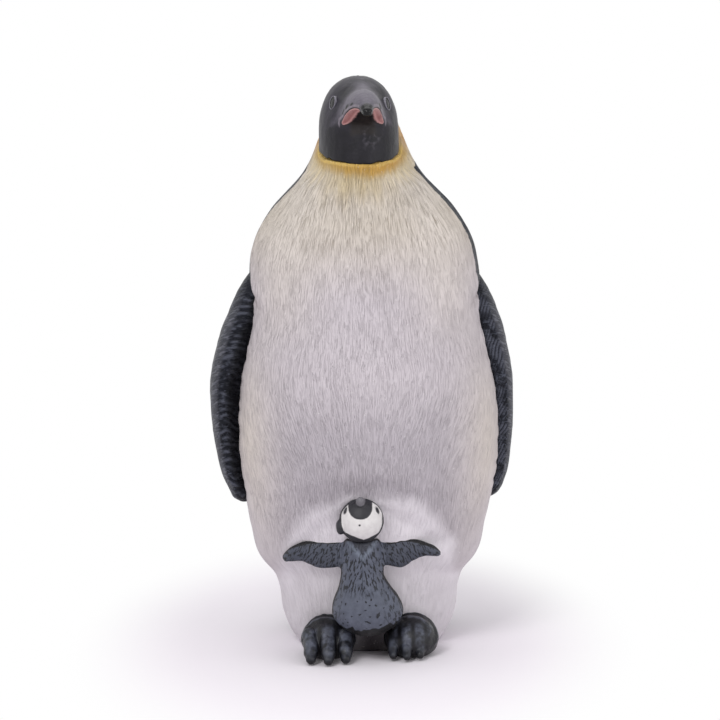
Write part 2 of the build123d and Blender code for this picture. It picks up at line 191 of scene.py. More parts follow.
# Patches: size in mm, detail, and the noise values at which they start and are full
CLOUDS = (6.0, 4.0, 0.4, 0.7)
CREASE_SHADE_PATCHES = (0.8, 3.0, 0.25, 0.65)
SPECKS = (0.32, 1.0, 0.71, 0.76)
SMEARS = (1.1, 5.0, 0.5, 0.72)
FEATHER_PATCHES = (1.6, 3.0, 0.4, 0.6)
LOOP_PATCHES = (1.7, 3.0, 0.46, 0.58)
DRY_BRUSH_AND_HIGHLIGHT_PATCHES = (1.1, 3.0, 0.28, 0.76)
DOTS = (0.55, 0.0, 0.7, 0.76)
SMUDGES = (0.9, 3.0, 0.62, 0.74)

# Ragged paint edges: raggedness, size of the noise and softness, in mm
MANTLE_EDGE = (0.55, 0.7, 0.12)
PLATE_EDGE = (0.08, 0.5, 0.07)
TIP_EDGE = (0.3, 0.5, 0.4)
BIB_EDGE = (0.2, 0.6, 0.12)
HOOD_EDGE = (0.07, 0.4, 0.08)
CHICK_BILL_EDGE = (0.08, 0.4, 0.1)


def ramp(low, high, value):
    """0 below low, 1 above high, and a smooth rise between them."""
    part = np.clip((value - low) / (high - low), 0, 1)
    return part * part * (3 - 2 * part)


def band(value, low, full_low, full_high, high):
    """1 between two limits, with a smooth rise before and a smooth fall after them."""
    return ramp(low, full_low, value) * ramp(high, full_high, value)


def mound(value, centre, width):
    """1 at the centre, falling off like a bell on both sides."""
    return np.exp(-(((value - centre) / width) ** 2))


def smooth_min(first, second, radius):
    """Lower of two fields, with a fillet where they meet."""
    part = np.clip(0.5 + 0.5 * (second - first) / radius, 0, 1)
    return second + (first - second) * part - radius * part * (1 - part)


def smooth_max(first, second, radius):
    """Higher of two fields, with a fillet where they meet."""
    return -smooth_min(-first, -second, radius)


def norm(*parts):
    """Length of a vector, from its parts."""
    return np.sqrt(sum(part**2 for part in parts))


def wrap(bearings):
    """Bearings between -180 and 180 degrees."""
    return (bearings + 180) % 360 - 180


def on_plane(first, second):
    """Points on a plane, from two fields."""
    return np.stack(np.broadcast_arrays(first, second), axis=-1)


def with_zero(flow):
    """Points on a plane as vectors of three."""
    return np.concatenate([flow, 0 * flow[..., :1]], axis=-1)


def profile(rows, place):
    """Smooth curves through the rows of a table, whose first column is the place."""
    rows = np.array(rows)
    places, values = rows[:, 0], rows[:, 1:]
    slopes = np.gradient(values, places, axis=0)
    after = np.clip(np.searchsorted(places, place), 1, len(places) - 1)
    before = after - 1
    gap = (places[after] - places[before])[..., None]
    part = np.clip((place - places[before])[..., None] / gap, 0, 1)
    start = (1 + 2 * part) * (1 - part) ** 2 * values[before]
    start = start + part * (1 - part) ** 2 * gap * slopes[before]
    end = part**2 * (3 - 2 * part) * values[after] + part**2 * (part - 1) * gap * slopes[after]
    return np.moveaxis(start + end, -1, 0)


def noise(points, size, seed=0):
    """Smooth noise from -1 to 1 at points, with lumps of about a size in mm."""
    scaled = points / np.array(size)
    cell = np.floor(scaled)
    part = scaled - cell
    part = part * part * (3 - 2 * part)
    mixer = np.array([127.1, 311.7, 74.7])[: points.shape[-1]]
    total = 0
    for corner in product((0, 1), repeat=points.shape[-1]):
        chosen = np.array(corner) == 1
        weight = np.prod(np.where(chosen, part, 1 - part), axis=-1)
        value = np.sin((cell + corner) @ mixer + seed) * 43758.5453
        total = total + weight * (value - np.floor(value))
    return 2 * total - 1


def srgb(red, green, blue):
    """Linear colour of a screen colour from 0 to 255."""
    value = np.array([red, green, blue]) / 255
    return np.where(value < 0.04045, value / 12.92, ((value + 0.055) / 1.055) ** 2.4)


def blend(base, zones):
    """Colours after a list of (colour, cover) is laid over a base colour."""
    tint = srgb(*base)
    for colour, cover in zones:
        tint = tint + (srgb(*colour) - tint) * np.asarray(cover)[..., None]
    return tint


def grid_faces(rows, columns, wrapped):
    """Quads of a grid of points, listed row by row."""
    row, column = np.meshgrid(np.arange(rows - 1), np.arange(columns - (not wrapped)), indexing="ij")
    after = (column + 1) % columns
    lower, upper = row * columns, (row + 1) * columns
    quads = [lower + column, lower + after, upper + after, upper + column]
    return np.stack(quads, axis=-1).reshape(-1, 4).tolist()


def end_faces(rows, columns):
    """Faces that close the first and the last row of a grid."""
    return [list(range(columns)), list(range((rows - 1) * columns, rows * columns))]


def grid_normals(points):
    """Unit normals of a grid of points."""
    normal = np.cross(np.gradient(points, axis=1), np.gradient(points, axis=0))
    return normal / np.maximum(np.linalg.norm(normal, axis=-1, keepdims=True), 1e-9)


def add_object(name, data):
    """New object in the scene."""
    thing = bpy.data.objects.new(name, data)
    bpy.context.scene.collection.objects.link(thing)
    return thing


def make_piece(name, points, faces, material, node=None):
    """Closed mesh from points in mm, which may stand for a CAD node."""
    mesh = bpy.data.meshes.new(name)
    points = np.clip(np.reshape(points, (-1, 3)), box_low, box_high)
    mesh.from_pydata((points * MM).tolist(), [], faces)
    sheet = bmesh.new()
    sheet.from_mesh(mesh)
    bmesh.ops.recalc_face_normals(sheet, faces=sheet.faces)
    sheet.to_mesh(mesh)
    sheet.free()
    mesh.shade_smooth()
    mesh.materials.append(material)
    piece = add_object(name, mesh)
    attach(piece, "root")
    if node:
        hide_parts(node)
    return piece


def read_mesh(piece):
    """Points in mm and normals of a piece's vertices."""
    count = len(piece.data.vertices)
    points, normals = np.empty(count * 3), np.empty(count * 3)
    piece.data.vertices.foreach_get("co", points)
    piece.data.vertex_normals.foreach_get("vector", normals)
    return points.reshape(-1, 3) / MM, normals.reshape(-1, 3)


def push_out(piece, normals, points, amount):
    """Moves a piece's vertices along their normals by an amount in mm."""
    moved = np.clip(points + normals * np.asarray(amount)[:, None], box_low, box_high)
    piece.data.vertices.foreach_set("co", (moved * MM).ravel())
    piece.data.update()


def write_fields(piece, **fields):
    """Stores numbers, vectors or colours at a piece's vertices for its material."""
    for name, values in fields.items():
        values = np.asarray(values, dtype=np.float32)
        plain = values.size == len(piece.data.vertices)
        attribute = piece.data.attributes.new(name, "FLOAT" if plain else "FLOAT_VECTOR", "POINT")
        attribute.data.foreach_set("value" if plain else "vector", values.ravel())


class Nodes:
    """Short ways to add shader nodes to a tree."""

    def __init__(self, tree):
        self.nodes = tree.nodes
        self.links = tree.links

    def put(self, socket, value):
        """Links a socket to another, or sets its value."""
        if isinstance(value, bpy.types.NodeSocket):
            self.links.new(value, socket)
        else:
            socket.default_value = value

    def add(self, kind, inputs, output=0, **settings):
        """New node with its inputs set; returns one of its outputs."""
        node = self.nodes.new("ShaderNode" + kind)
        for setting, value in settings.items():
            setattr(node, setting, value)
        for key, value in inputs.items():
            self.put(node.inputs[key], value)
        return node.outputs[output]

    def math(self, operation, first, second=0.0):
        """Result of an operation on one or two values."""
        return self.add("Math", {0: first, 1: second}, operation=operation)

    def times(self, first, second):
        """Product of two values."""
        return self.math("MULTIPLY", first, second)

    def spread(self, value, least, most, low=0.0, high=1.0):
        """Value between low and high, stretched to lie between least and most."""
        limits = {"From Min": low, "From Max": high, "To Min": least, "To Max": most}
        return self.add("MapRange", {"Value": value, **limits})

    def seen(self):
        """1 on rays that show a surface to the camera, straight or by way of another."""
        seen = self.add("LightPath", {}, "Is Camera Ray")
        for ray in ("Is Glossy Ray", "Is Transmission Ray"):
            seen = self.math("MAXIMUM", seen, self.add("LightPath", {}, ray))
        return seen


class Paint(Nodes):
    """A material of painted plastic, whose colour, roughness and bump come from nodes."""

    def __init__(self, name):
        self.material = bpy.data.materials.new(name)
        self.material.use_nodes = True
        super().__init__(self.material.node_tree)
        position = self.add("TexCoord", {}, "Object")
        self.place = self.add("VectorMath", {0: position, "Scale": 1 / MM}, operation="SCALE")
        self.look = FINISHES[name]
        self.colour = None

    def field(self, name, output="Fac"):
        """A field stored at the vertices."""
        return self.add("Attribute", {}, output, attribute_name=name)

    def step(self, value, low, high):
        """Smooth step from 0 at low to 1 at high."""
        limits = {"Value": value, "From Min": low, "From Max": high}
        return self.add("MapRange", limits, interpolation_type="SMOOTHSTEP")

    def zone(self, name, low, high):
        """Smooth step over a field stored at the vertices."""
        return self.step(self.field(name), low, high)

    def mix(self, amount, first, second):
        """Colour between two others, which are screen colours or sockets."""
        inputs = {0: amount, 6: first, 7: second}
        for key in (6, 7):
            if isinstance(inputs[key], tuple):
                inputs[key] = (*srgb(*inputs[key]), 1.0)
        return self.add("Mix", inputs, 2, data_type="RGBA")

    def coat(self, colour, cover, strength=1.0):
        """Lays a colour over the paint so far, where a cover from 0 to 1 shows it."""
        if strength != 1.0:
            cover = self.times(cover, strength)
        self.colour = self.mix(cover, self.colour, colour)

    def noise(self, size, detail=3.0):
        """Noise from 0 to 1 with lumps of a size in mm."""
        return self.add("TexNoise", {"Vector": self.place, "Scale": 1 / size, "Detail": detail}, "Fac")

    def patches(self, size, detail, low, high):
        """Patches of noise, with lumps of a size in mm."""
        return self.step(self.noise(size, detail), low, high)

    def streaks(self, flow, width, length, low, high):
        """Fine strokes along a flow's second axis, with a width and a length in mm."""
        shares = (1 / width, 1 / length, 1.0)
        stretched = self.add("VectorMath", {0: flow, 1: shares}, operation="MULTIPLY")
        value = self.add("TexNoise", {"Vector": stretched, "Scale": 1.0, "Detail": 2.0}, "Fac")
        return self.step(value, low, high)

    def shaken(self, name, value, amount):
        """A field stored at the vertices, shaken by noise by up to about an amount."""
        shake = self.times(self.math("SUBTRACT", value, 0.5), 2 * amount)
        return self.math("ADD", self.field(name), shake)

    def ragged(self, name, raggedness, size, soft):
        """Edge of a paint zone at the zero of a stored field, broken up by noise."""
        return self.step(self.shaken(name, self.noise(size), raggedness), -soft, soft)

    def finish(self, height, wear=None, shine=None):
        """Sends all to the shader; wear raises the roughness, and shine lowers it."""
        depth, specular, roughness, roughest = self.look
        if wear is not None:
            roughness = self.spread(wear, roughness, roughest)
        if shine is not None:
            roughness = self.math("SUBTRACT", roughness, shine)
        bump = self.add("Bump", {"Height": height, "Distance": depth * MM, "Strength": 1.0}, "Normal")
        sockets = {"Base Color": self.colour, "Roughness": roughness, "Normal": bump}
        sockets["Specular IOR Level"] = specular
        for name, value in sockets.items():
            self.put(self.nodes["Principled BSDF"].inputs[name], value)
        return self.material


# Screen colours of the torso, among them painted shade, painted light and a painted highlight
CHEST_CREAM = (204, 195, 184)
BELLY_WHITE = (197, 190, 195)
SHOULDER_WHITE = (214, 206, 199)
BELLY_PAINTED_SHADE = (179, 173, 179)
FLANK_CREAM = (213, 204, 192)
RECESS_PAINTED_LIGHT = (225, 220, 225)
SKIRT_PAINTED_LIGHT = (212, 207, 212)
GROOVE_PAINTED_SHADE = (150, 144, 151)
CHICK_SHADOW = (62, 58, 62)
COLLAR_CREAM = (222, 204, 164)
COLLAR_OCHRE = (188, 168, 122)
GOLD = (182, 148, 76)
PALE_GOLD = (206, 178, 122)
AMBER = (208, 160, 84)
RIM_HIGHLIGHT_YELLOW = (230, 198, 116)
EAR_CREAM = (204, 188, 168)
EAR_AMBER = (212, 164, 100)
CHEST_STAIN = (138, 126, 110)
BELLY_STAIN = (146, 139, 144)
GOLD_STAIN = (146, 116, 60)
CREASE_PAINTED_SHADE = (120, 108, 104)
PALE_STROKE_WHITE = (226, 221, 219)
SPECK_WHITE = (232, 228, 228)
MANTLE_BLACK = (32, 34, 43)
MANTLE_GREY = (80, 81, 93)


def torso_paint():
    """White with a wash in the feather strokes, and the dark mantle behind a ragged edge."""
    paint = Paint("torso_paint")
    flow, feather = paint.field("flow", "Vector"), paint.field("feather")
    stain = paint.field("stain", "Color")
    dark = paint.ragged("dark", *MANTLE_EDGE)
    hair = paint.streaks(flow, *HAIR_STROKES)
    fine = paint.times(paint.streaks(flow, *FINE_STROKES), 0.6)
    groove = paint.times(paint.math("MAXIMUM", hair, fine), feather)
    patchy = paint.spread(paint.noise(4.5), 0.35, 1.0, 0.35, 0.65)
    paint.colour = paint.field("tint", "Color")
    paint.coat(stain, paint.patches(*CLOUDS), 0.14)
    paint.coat(stain, paint.times(paint.times(groove, patchy), paint.field("stroke")))
    # Painted shade: darker brown in patches in the shoulder crease
    paint.coat(CREASE_PAINTED_SHADE, paint.times(paint.field("crevice"), paint.patches(*CREASE_SHADE_PATCHES)))
    # Paler strokes along the feathers
    paint.coat(PALE_STROKE_WHITE, paint.times(paint.streaks(flow, *PALE_STROKES), feather), 0.22)
    paint.coat(SPECK_WHITE, paint.patches(*SPECKS), 0.4)
    worn = paint.times(paint.streaks(flow, *WORN_STROKES), 0.5)
    paint.coat(paint.mix(worn, MANTLE_BLACK, MANTLE_GREY), dark)
    height = paint.math("SUBTRACT", paint.times(paint.noise(0.5), 0.3), groove)
    return paint.finish(height, paint.noise(1.1), paint.times(dark, 0.16))


def half_faces(rows, columns):
    """Faces of a half round skin, closed across its seam, its foot and its rim."""
    left = np.arange(rows) * columns
    right = left + columns - 1
    seam = np.stack([left[:-1], right[:-1], right[1:], left[1:]], axis=1).tolist()
    return grid_faces(rows, columns, False) + seam + end_faces(rows, columns)


def egg_radius(turn, half_width, front, back):
    """Distance from the axis to an egg outline, at turns in radians from the front."""
    reach = np.where(np.cos(turn) > 0, front, back)
    return 1 / np.hypot(np.sin(turn) / half_width, np.cos(turn) / reach)


def head_axes(x, y):
    """Distances across and ahead of the turned head's axis."""
    turn = np.radians(head_turn)
    x = x - head_offset
    return x * np.cos(turn) + y * np.sin(turn), x * np.sin(turn) - y * np.cos(turn)


def chin_radius(turn, set_back):
    """Distance from the neck's axis to the head's outline at the chin, at turns in radians."""
    away = turn - np.radians(head_turn)
    across, ahead = head_axes(0.0, set_back)
    square = (np.sin(away) / head_half_width) ** 2 + (np.cos(away) / chin_reach) ** 2
    half = across * np.sin(away) / head_half_width**2 + ahead * np.cos(away) / chin_reach**2
    rest = (across / head_half_width) ** 2 + (ahead / chin_reach) ** 2 - 1
    return (np.sqrt(np.maximum(half**2 - square * rest, 0)) - half) / square


def chin_rise(away):
    """Rise of the chin line above its lowest point, at degrees away from the head's front."""
    return chin_lift * ramp(2, 20, away)


def fold_arch(z):
    """How far the brood fold's roll and groove show at a height."""
    return ramp(8, 20, z)


def neck_rim(bearings):
    """Height of the torso's rim: frayed under the chin, and higher at the nape."""
    turn, side = np.radians(bearings), np.abs(wrap(bearings))
    rim = collar_height + chin_tilt * chin_reach * (1 - np.maximum(np.cos(turn), 0))
    rim = rim + chin_rise(np.abs(wrap(bearings - head_turn)))
    rim = np.minimum(rim + (nape_height - collar_height) * ramp(64, 126, side), nape_height)
    fray = noise(on_plane(turn * chin_reach, 0), (1.0, 1.0), 17)
    return rim + rim_fray * fray * ramp(85, 65, side)


def torso_radius(turn, side, z, rim, set_back):
    """Distance from the axis to the torso's skin, and the fields of its fold, groove and crease."""
    width, front, back = profile(TORSO_SHARES, z / torso_height)
    front, back = front * belly_reach + set_back, back * back_reach - set_back
    torso = egg_radius(turn, width * belly_half_width, front, back)
    width, front, back = profile(SKIRT_SHARES, z / skirt_height)
    skirt = egg_radius(turn, width * skirt_half_width, front * skirt_front_reach, back * skirt_back_reach)
    skirt = skirt * ramp(1.7 * skirt_height, skirt_height, z)
    # Arched opening and the roll round it
    across = torso * np.sin(turn)
    beside = np.abs(across) / fold_half_width + 2 * (np.cos(turn) < 0)
    above = np.maximum(z - fold_crown_height + fold_rise, 0) / fold_rise
    ring = (beside**fold_squareness + above**fold_squareness) ** (1 / fold_squareness)
    fold_out = (ring - 1) * fold_rise
    fold_out = fold_out + fold_unevenness * noise(on_plane(across, z), (fold_lump, fold_lump), 23)
    body = smooth_max(torso, skirt, skirt_fillet)
    recess = smooth_max(torso - fold_depth, skirt, skirt_fillet)
    body = recess + (body - recess) * ramp(-fold_edge, fold_edge, fold_out)
    groove = mound(fold_out, fold_groove_place, fold_roll_width) * mound(across, -1.0, 7.0)
    roll = fold_roll * mound(fold_out, 0.0, fold_roll_width) - fold_groove * groove
    body = body + roll * fold_arch(z)
    # Fuller left and slimmer right side, the shoulder crease, and the jagged edge beside the flippers
    body = body + left_fullness * ramp(0.4, 1.0, np.sin(turn)) * band(z, 18, 26, 54, 63)
    body = body - right_slimness * ramp(0.4, 1.0, -np.sin(turn)) * mound(z, 40, 9)
    crease = mound(z, crease_height - crease_slope * (90 - side), crease_width) * mound(side, 86, 16)
    body = body - crease_depth * crease
    jagged = noise(on_plane(z, turn), (0.9, 2.0), 21)
    body = body + side_jag * jagged * mound(side, 84, 9) * band(z, 20, 26, 54, 60)
    # Rim, led in to the chin in front and tucked in at the nape
    lean_in = ramp(rim - 4.5, rim, z) * ramp(92, 60, side)
    body = body + (chin_radius(turn, set_back) + rim_stand_out - body) * lean_in
    body = body - nape_tuck * ramp(rim - 1.4, rim, z) * ramp(60, 92, side)
    return body, fold_out, groove, crease


def torso_colours(bearing, facing, z, below_rim, across, flow, fold_out, groove):
    """Colours of the torso's paint and of the wash in its strokes, with painted shade, painted light and a
    painted highlight among them.
    """
    side = np.abs(bearing)
    front = ramp(150, 115, side)
    middle = mound(bearing, -6, 28)
    frayed = below_rim + 0.8 * noise(flow, (1.2, 4.0), 11)
    gold_edge = 1.1 + 0.3 * noise(flow, (1.4, 3.0), 13) + 0.2 * ramp(-30, 30, bearing)
    gold_edge = gold_edge + 0.4 * mound(bearing, 3, 16) - 0.6 * ramp(20, 60, side)
    gold = ramp(gold_edge + 1.4, gold_edge - 0.7, below_rim) * front
    amber = ramp(2.4, 0.6, below_rim) * mound(bearing, 38, 45)
    # Painted highlight: a bright yellow line along the edge of the rim
    rim_highlight = mound(below_rim, 0.16, 0.2) * ramp(100, 80, side)
    ear = ramp(76.5, 79.5, z) * ramp(72, 88, side) * front
    zones = [
        (BELLY_WHITE, ramp(69, 55, z)),
        (SHOULDER_WHITE, 0.6 * mound(side, 48, 22) * ramp(46, 58, z)),
        # Painted shade: the lower front of the belly greyer, as if less lit from above
        (BELLY_PAINTED_SHADE, ramp(46, 33, z) * ramp(66, 30, side)),
        (FLANK_CREAM, 0.7 * mound(side, 66, 19) * mound(z, 33, 13)),
        # Painted light: paler on the fold's lip and in the recess under it
        (RECESS_PAINTED_LIGHT, ramp(2.6, -0.6, fold_out)),
        # Painted light: paler low on the front of the skirt
        (SKIRT_PAINTED_LIGHT, ramp(13, 8, z) * facing),
        # Painted shade: grey in a band above the fold and in the groove along it
        (GROOVE_PAINTED_SHADE, (0.12 * mound(fold_out, 3.0, 2.4) + 0.42 * groove) * fold_arch(z)),
        (CHICK_SHADOW, mound(across, 0.4, 4.2) * ramp(5.2, 3.4, z) * facing),
        (COLLAR_CREAM, 0.8 * ramp(4.5, 1.2, frayed) * front * (1 - middle)),
        (COLLAR_OCHRE, 0.7 * ramp(7.5, 2.5, frayed) * middle),
        (GOLD, gold),
        (PALE_GOLD, 0.6 * gold * ramp(18, 42, side)),
        (AMBER, 0.7 * amber * gold),
        # Painted highlight along the rim, weaker under the middle of the chin
        (RIM_HIGHLIGHT_YELLOW, rim_highlight * (1 - 0.65 * mound(bearing, 4, 14))),
        (EAR_CREAM, 0.9 * ear),
        (EAR_AMBER, 0.85 * ear * mound(side, 96, 15) * mound(z, 79.6, 2.2)),
    ]
    washes = [(BELLY_STAIN, ramp(68, 54, z)), (GOLD_STAIN, gold)]
    return blend(CHEST_CREAM, zones), blend(CHEST_STAIN, washes)


def mantle_edge(bearing, z, flow):
    """Bearing of the mantle's edge: forward on the shoulders, back on the neck and the skirt."""
    left = bearing > 0
    edge = 85 - np.where(left, 6, 3) * ramp(54, 60, z)
    edge = edge + np.where(left, 0, 9) * mound(z, 65, 4.5)
    edge = edge - np.where(left, 5, 3) * ramp(66, 73, z) + 44 * ramp(75.0, 79.0, z)
    return edge + 26 * ramp(32, 13, z) - 5 * mound(z, 56, 3) + 2 * noise(flow, (40.0, 4.0), 19)


def torso_skin(bearings, rises):
    """Grid of points on the torso's skin, and the fields for its paint."""
    bearings = bearings[None, :]
    turn, bearing = np.radians(bearings), wrap(bearings)
    side, facing = np.abs(bearing), np.cos(turn) > 0
    rim = neck_rim(bearings)
    z = rises[:, None] * rim
    set_back = neck_set_back * ramp(0.78, 0.97, z / torso_height)
    body, fold_out, groove, crease = torso_radius(turn, side, z, rim, set_back)
    across = body * np.sin(turn)
    grid = np.stack([across, set_back - body * np.cos(turn), z], axis=-1)
    # Feather tufts along a flow that gathers towards the fold
    gather = belly_gather * np.sin(2 * turn) * facing * ramp(46, 27, z)
    flow = on_plane((turn + gather) * belly_half_width, z)
    sway = noise(flow, (6.5, 9.0), 3) + 0.6 * noise(flow, (2.6, 5.0), 5)
    flow[..., 0] += sway * (0.5 + 0.6 * ramp(55, 80, side))
    flow[..., 1] += stroke_shift * noise(flow, (0.55, 7.0), 25)
    feather = 0.45 + 0.55 * ramp(0, 2.5, fold_out) * ramp(12, 24, z)
    stroke = 0.4 + 0.4 * band(z, 60, 71, 74, 77)
    stroke = stroke + 0.2 * ramp(10, -50, bearings) * ramp(60, 45, z)
    tufts = tuft_height * noise(flow, (1.5, 5.0), 7) + fine_tuft_height * noise(flow, (0.6, 2.8), 9)
    grid = grid + grid_normals(grid) * (tufts * feather)[..., None]
    tint, stain = torso_colours(bearing, facing, z, rim - z, across, flow, fold_out, groove)
    dark = np.radians(side - mantle_edge(bearing, z, flow)) * np.maximum(body, 6)
    fields = {"flow": with_zero(flow), "feather": feather, "dark": dark, "tint": tint, "stain": stain}
    return grid, {**fields, "crevice": 0.7 * crease, "stroke": stroke}


def torso_half(name, node, material, first, last, rows, columns):
    """One half of the torso, between two bearings."""
    grid, fields = torso_skin(np.linspace(first, last, columns), np.linspace(0, 1, rows))
    piece = make_piece(name, grid, half_faces(rows, columns), material, node)
    write_fields(piece, **fields)


torso_material = torso_paint()
torso_half("belly", "belly_shell", torso_material, -90, 90, 284, 350)
torso_half("back", "back_shell", torso_material, 90, 270, 260, 260)

# Eyes, by side where they differ
eye_height = {1: 85.75, -1: 86.05}
eye_across = {1: 4.2, -1: 4.4}
eye_half_width = 0.86
eye_half_height = 1.2
eye_stand_out = 0.22
eye_up_tilt = 0.22
eye_sink = 0.14
eye_pinch = 0.14
eye_ball_share = 0.78
eye_rim_share = 0.87
socket_depth = 0.25
socket_radius = 1.6

# Bill: its groove, and the painted zones along it by the distance ahead
bill_root = 3.0
mouth_groove = 0.16
plate_start = 7.5
plate_end = 14.4
plate_half_height = 0.38
plate_drop = 0.44
lip_middle = 10.6
lip_half_length = 3.8
lip_half_height = 0.24
lip_rise = 0.26
gape_place = 7.0
gape_half_width = 0.17
tip_place = 14.9
pit_drawing_out = 0.5

# Depth of a zone's field where the zone doesn't reach
OUTSIDE = -1.0

# Rows of (height, half width, front reach, back reach) up the head
HEAD_SHARES = [
    (0.000, 0.975, 1.040, 0.950),
    (0.188, 1.000, 1.065, 0.980),
    (0.375, 1.000, 1.035, 0.980),
    (0.531, 0.990, 1.000, 0.960),
    (0.656, 0.944, 0.965, 0.911),
    (0.763, 0.848, 0.871, 0.835),
    (0.856, 0.712, 0.729, 0.709),
    (0.910, 0.592, 0.598, 0.590),
    (0.950, 0.452, 0.455, 0.452),
    (0.975, 0.326, 0.328, 0.326),
    (0.990, 0.208, 0.209, 0.208),
    (0.997, 0.114, 0.114, 0.114),
    (1.000, 0.020, 0.020, 0.020),
]

# Rows of (distance ahead, half width, culmen above the mouth, jaw below it, mouth height) along the bill
BILL_ROWS = [
    (5.0, 3.55, 5.40, 2.60, 82.9),
    (7.0, 3.35, 4.85, 1.75, 83.4),
    (9.0, 2.95, 3.75, 1.45, 84.5),
    (11.0, 2.40, 2.75, 1.20, 85.3),
    (13.0, 1.70, 1.75, 0.95, 85.7),
    (14.6, 1.10, 1.00, 0.75, 85.6),
    (15.6, 0.88, 0.80, 0.65, 85.2),
    (16.15, 0.62, 0.56, 0.50, 85.05),
    (16.4, 0.20, 0.20, 0.20, 85.0),
]

# Pits along the bill's upper edge: (side, distance ahead, rise above the mouth, radius)
BILL_PITS = [
    (-1, 8.3, 0.72, 0.31),
    (-1, 10.0, 0.76, 0.33),
    (-1, 11.8, 0.64, 0.25),
    (1, 10.6, 0.55, 0.42),
]

# Screen colours of the head, the bill and the eyes
HEAD_BLACK = (32, 30, 38)
HEAD_GREY = (50, 47, 57)
HEAD_PAINTED_SHADE = (14, 13, 18)
BARE_DARK = (70, 66, 76)
BARE_GREY = (116, 111, 122)
UNDER_BROWN = (33, 28, 28)
LIP_DARK = (96, 90, 100)
LIP_GREY = (146, 138, 147)
PIT_BLACK = (5, 4, 7)
PLATE_BORDER = (24, 20, 24)
PLATE_PINK = (182, 136, 134)
PLATE_RED = (132, 82, 82)
TIP_BLACK = (10, 9, 12)
SCUFF_GREY = (112, 108, 118)
EYE_RIM_DARK = (70, 67, 77)
EYE_RIM_GREY = (142, 139, 150)
EYE_BLACK = (7, 7, 9)
EYE_GRIME = (16, 15, 18)


def sculpt(name, low, high, step, shape, material, node):
    """Piece, points and normals of a shape, whose field in mm is negative inside."""
    axes = [np.arange(start, end, step) for start, end in zip(low, high)]
    grid = openvdb.FloatGrid(1.0)
    field = shape(*np.meshgrid(*axes, indexing="ij", sparse=True))
    grid.copyFromArray(np.ascontiguousarray(field, dtype=np.float32))
    points, quads = grid.convertToQuads(0.0)
    piece = make_piece(name, np.array(low) + points * step, quads.tolist(), material, node)
    return piece, *read_mesh(piece)


def oval_field(first, second, first_half, second_half):
    """Rough distance from an oval, by the places along its axes and its half sizes."""
    return (np.hypot(first / first_half, second / second_half) - 1) * np.sqrt(first_half * second_half)


def cut_off(field, place, low, high):
    """Field of a shape that ends in flat cuts at two places."""
    return np.maximum(field, np.maximum(place - high, low - place))


def egg_field(across, ahead, up, rows):
    """Rough distance from a stack of egg sections with rows of (height, half width, front, back)."""
    width, front, back = profile(rows, up)
    field = oval_field(across, ahead, width, np.where(ahead > 0, front, back))
    return cut_off(field, up, rows[0][0], rows[-1][0])


def round_cone(x, y, z, start, end, start_radius, end_radius):
    """Distance from a rod with round ends, whose radius changes evenly along it."""
    start, end = np.array(start), np.array(end)
    rod = end - start
    part = ((x - start[0]) * rod[0] + (y - start[1]) * rod[1] + (z - start[2]) * rod[2]) / (rod @ rod)
    part = np.clip(part, 0, 1)
    away = [axis - start[i] - part * rod[i] for i, axis in enumerate((x, y, z))]
    return norm(*away) - (start_radius + part * (end_radius - start_radius))


def head_rows():
    """Rows of (height, half width, front reach, back reach) up the head, in mm."""
    sizes = np.array([head_height, head_half_width, head_front_reach, head_back_reach])
    return np.array(HEAD_SHARES) * sizes + np.array([head_base_height, 0, 0, 0])


def eye_place(side):
    """Point on the skull at one eye, and the axes across, up and out of it."""
    width, front, _ = profile(head_rows(), np.array(eye_height[side]))
    ahead = front * np.sqrt(1 - (eye_across[side] / width) ** 2)
    turn = np.radians(head_turn)
    across_axis = np.array([np.cos(turn), np.sin(turn), 0])
    ahead_axis = np.array([np.sin(turn), -np.cos(turn), 0])
    out = side * eye_across[side] / width**2 * across_axis + ahead / front**2 * ahead_axis
    out = out / np.linalg.norm(out) + np.array([0, 0, eye_up_tilt])
    out = out / np.linalg.norm(out)
    across = np.cross(np.array([0, 0, 1.0]), out)
    across = across / np.linalg.norm(across)
    centre = side * eye_across[side] * across_axis + ahead * ahead_axis
    centre = centre + np.array([head_offset, 0, eye_height[side]])
    return centre, across, np.cross(out, across), out


def head_shape(x, y, z):
    """Field of the head: skull with hollows for the eyes, bill with its mouth, frayed chin."""
    across, ahead = head_axes(x, y)
    skull = egg_field(across, ahead, z, head_rows())
    for side in (-1, 1):
        centre = eye_place(side)[0]
        distance = norm(x - centre[0], y - centre[1], z - centre[2])
        skull = skull + socket_depth * mound(distance, 0, socket_radius)
    width, culmen, jaw, mouth = profile(BILL_ROWS, ahead)
    bill = oval_field(across, z - mouth, width, np.where(z > mouth, culmen, jaw))
    bill = cut_off(bill, ahead, bill_root, BILL_ROWS[-1][0])
    form = smooth_min(skull, bill, 0.8 + 2.4 * mound(across, 0, 2.6) * ramp(84, 86.5, z))
    form = form + mouth_groove * mound(z, mouth - 0.05, 0.14) * ramp(6.6, 8.0, ahead)
    bearing = np.arctan2(across, ahead) * head_front_reach
    chin = chin_height + chin_tilt * (chin_reach - np.maximum(ahead, 0))
    chin = chin + chin_rise(np.degrees(np.abs(bearing)) / head_front_reach)
    chin = chin + chin_fray * noise(on_plane(bearing, 0), (1.1, 1.0), 5)
    return smooth_max(form, chin - z, 0.35)


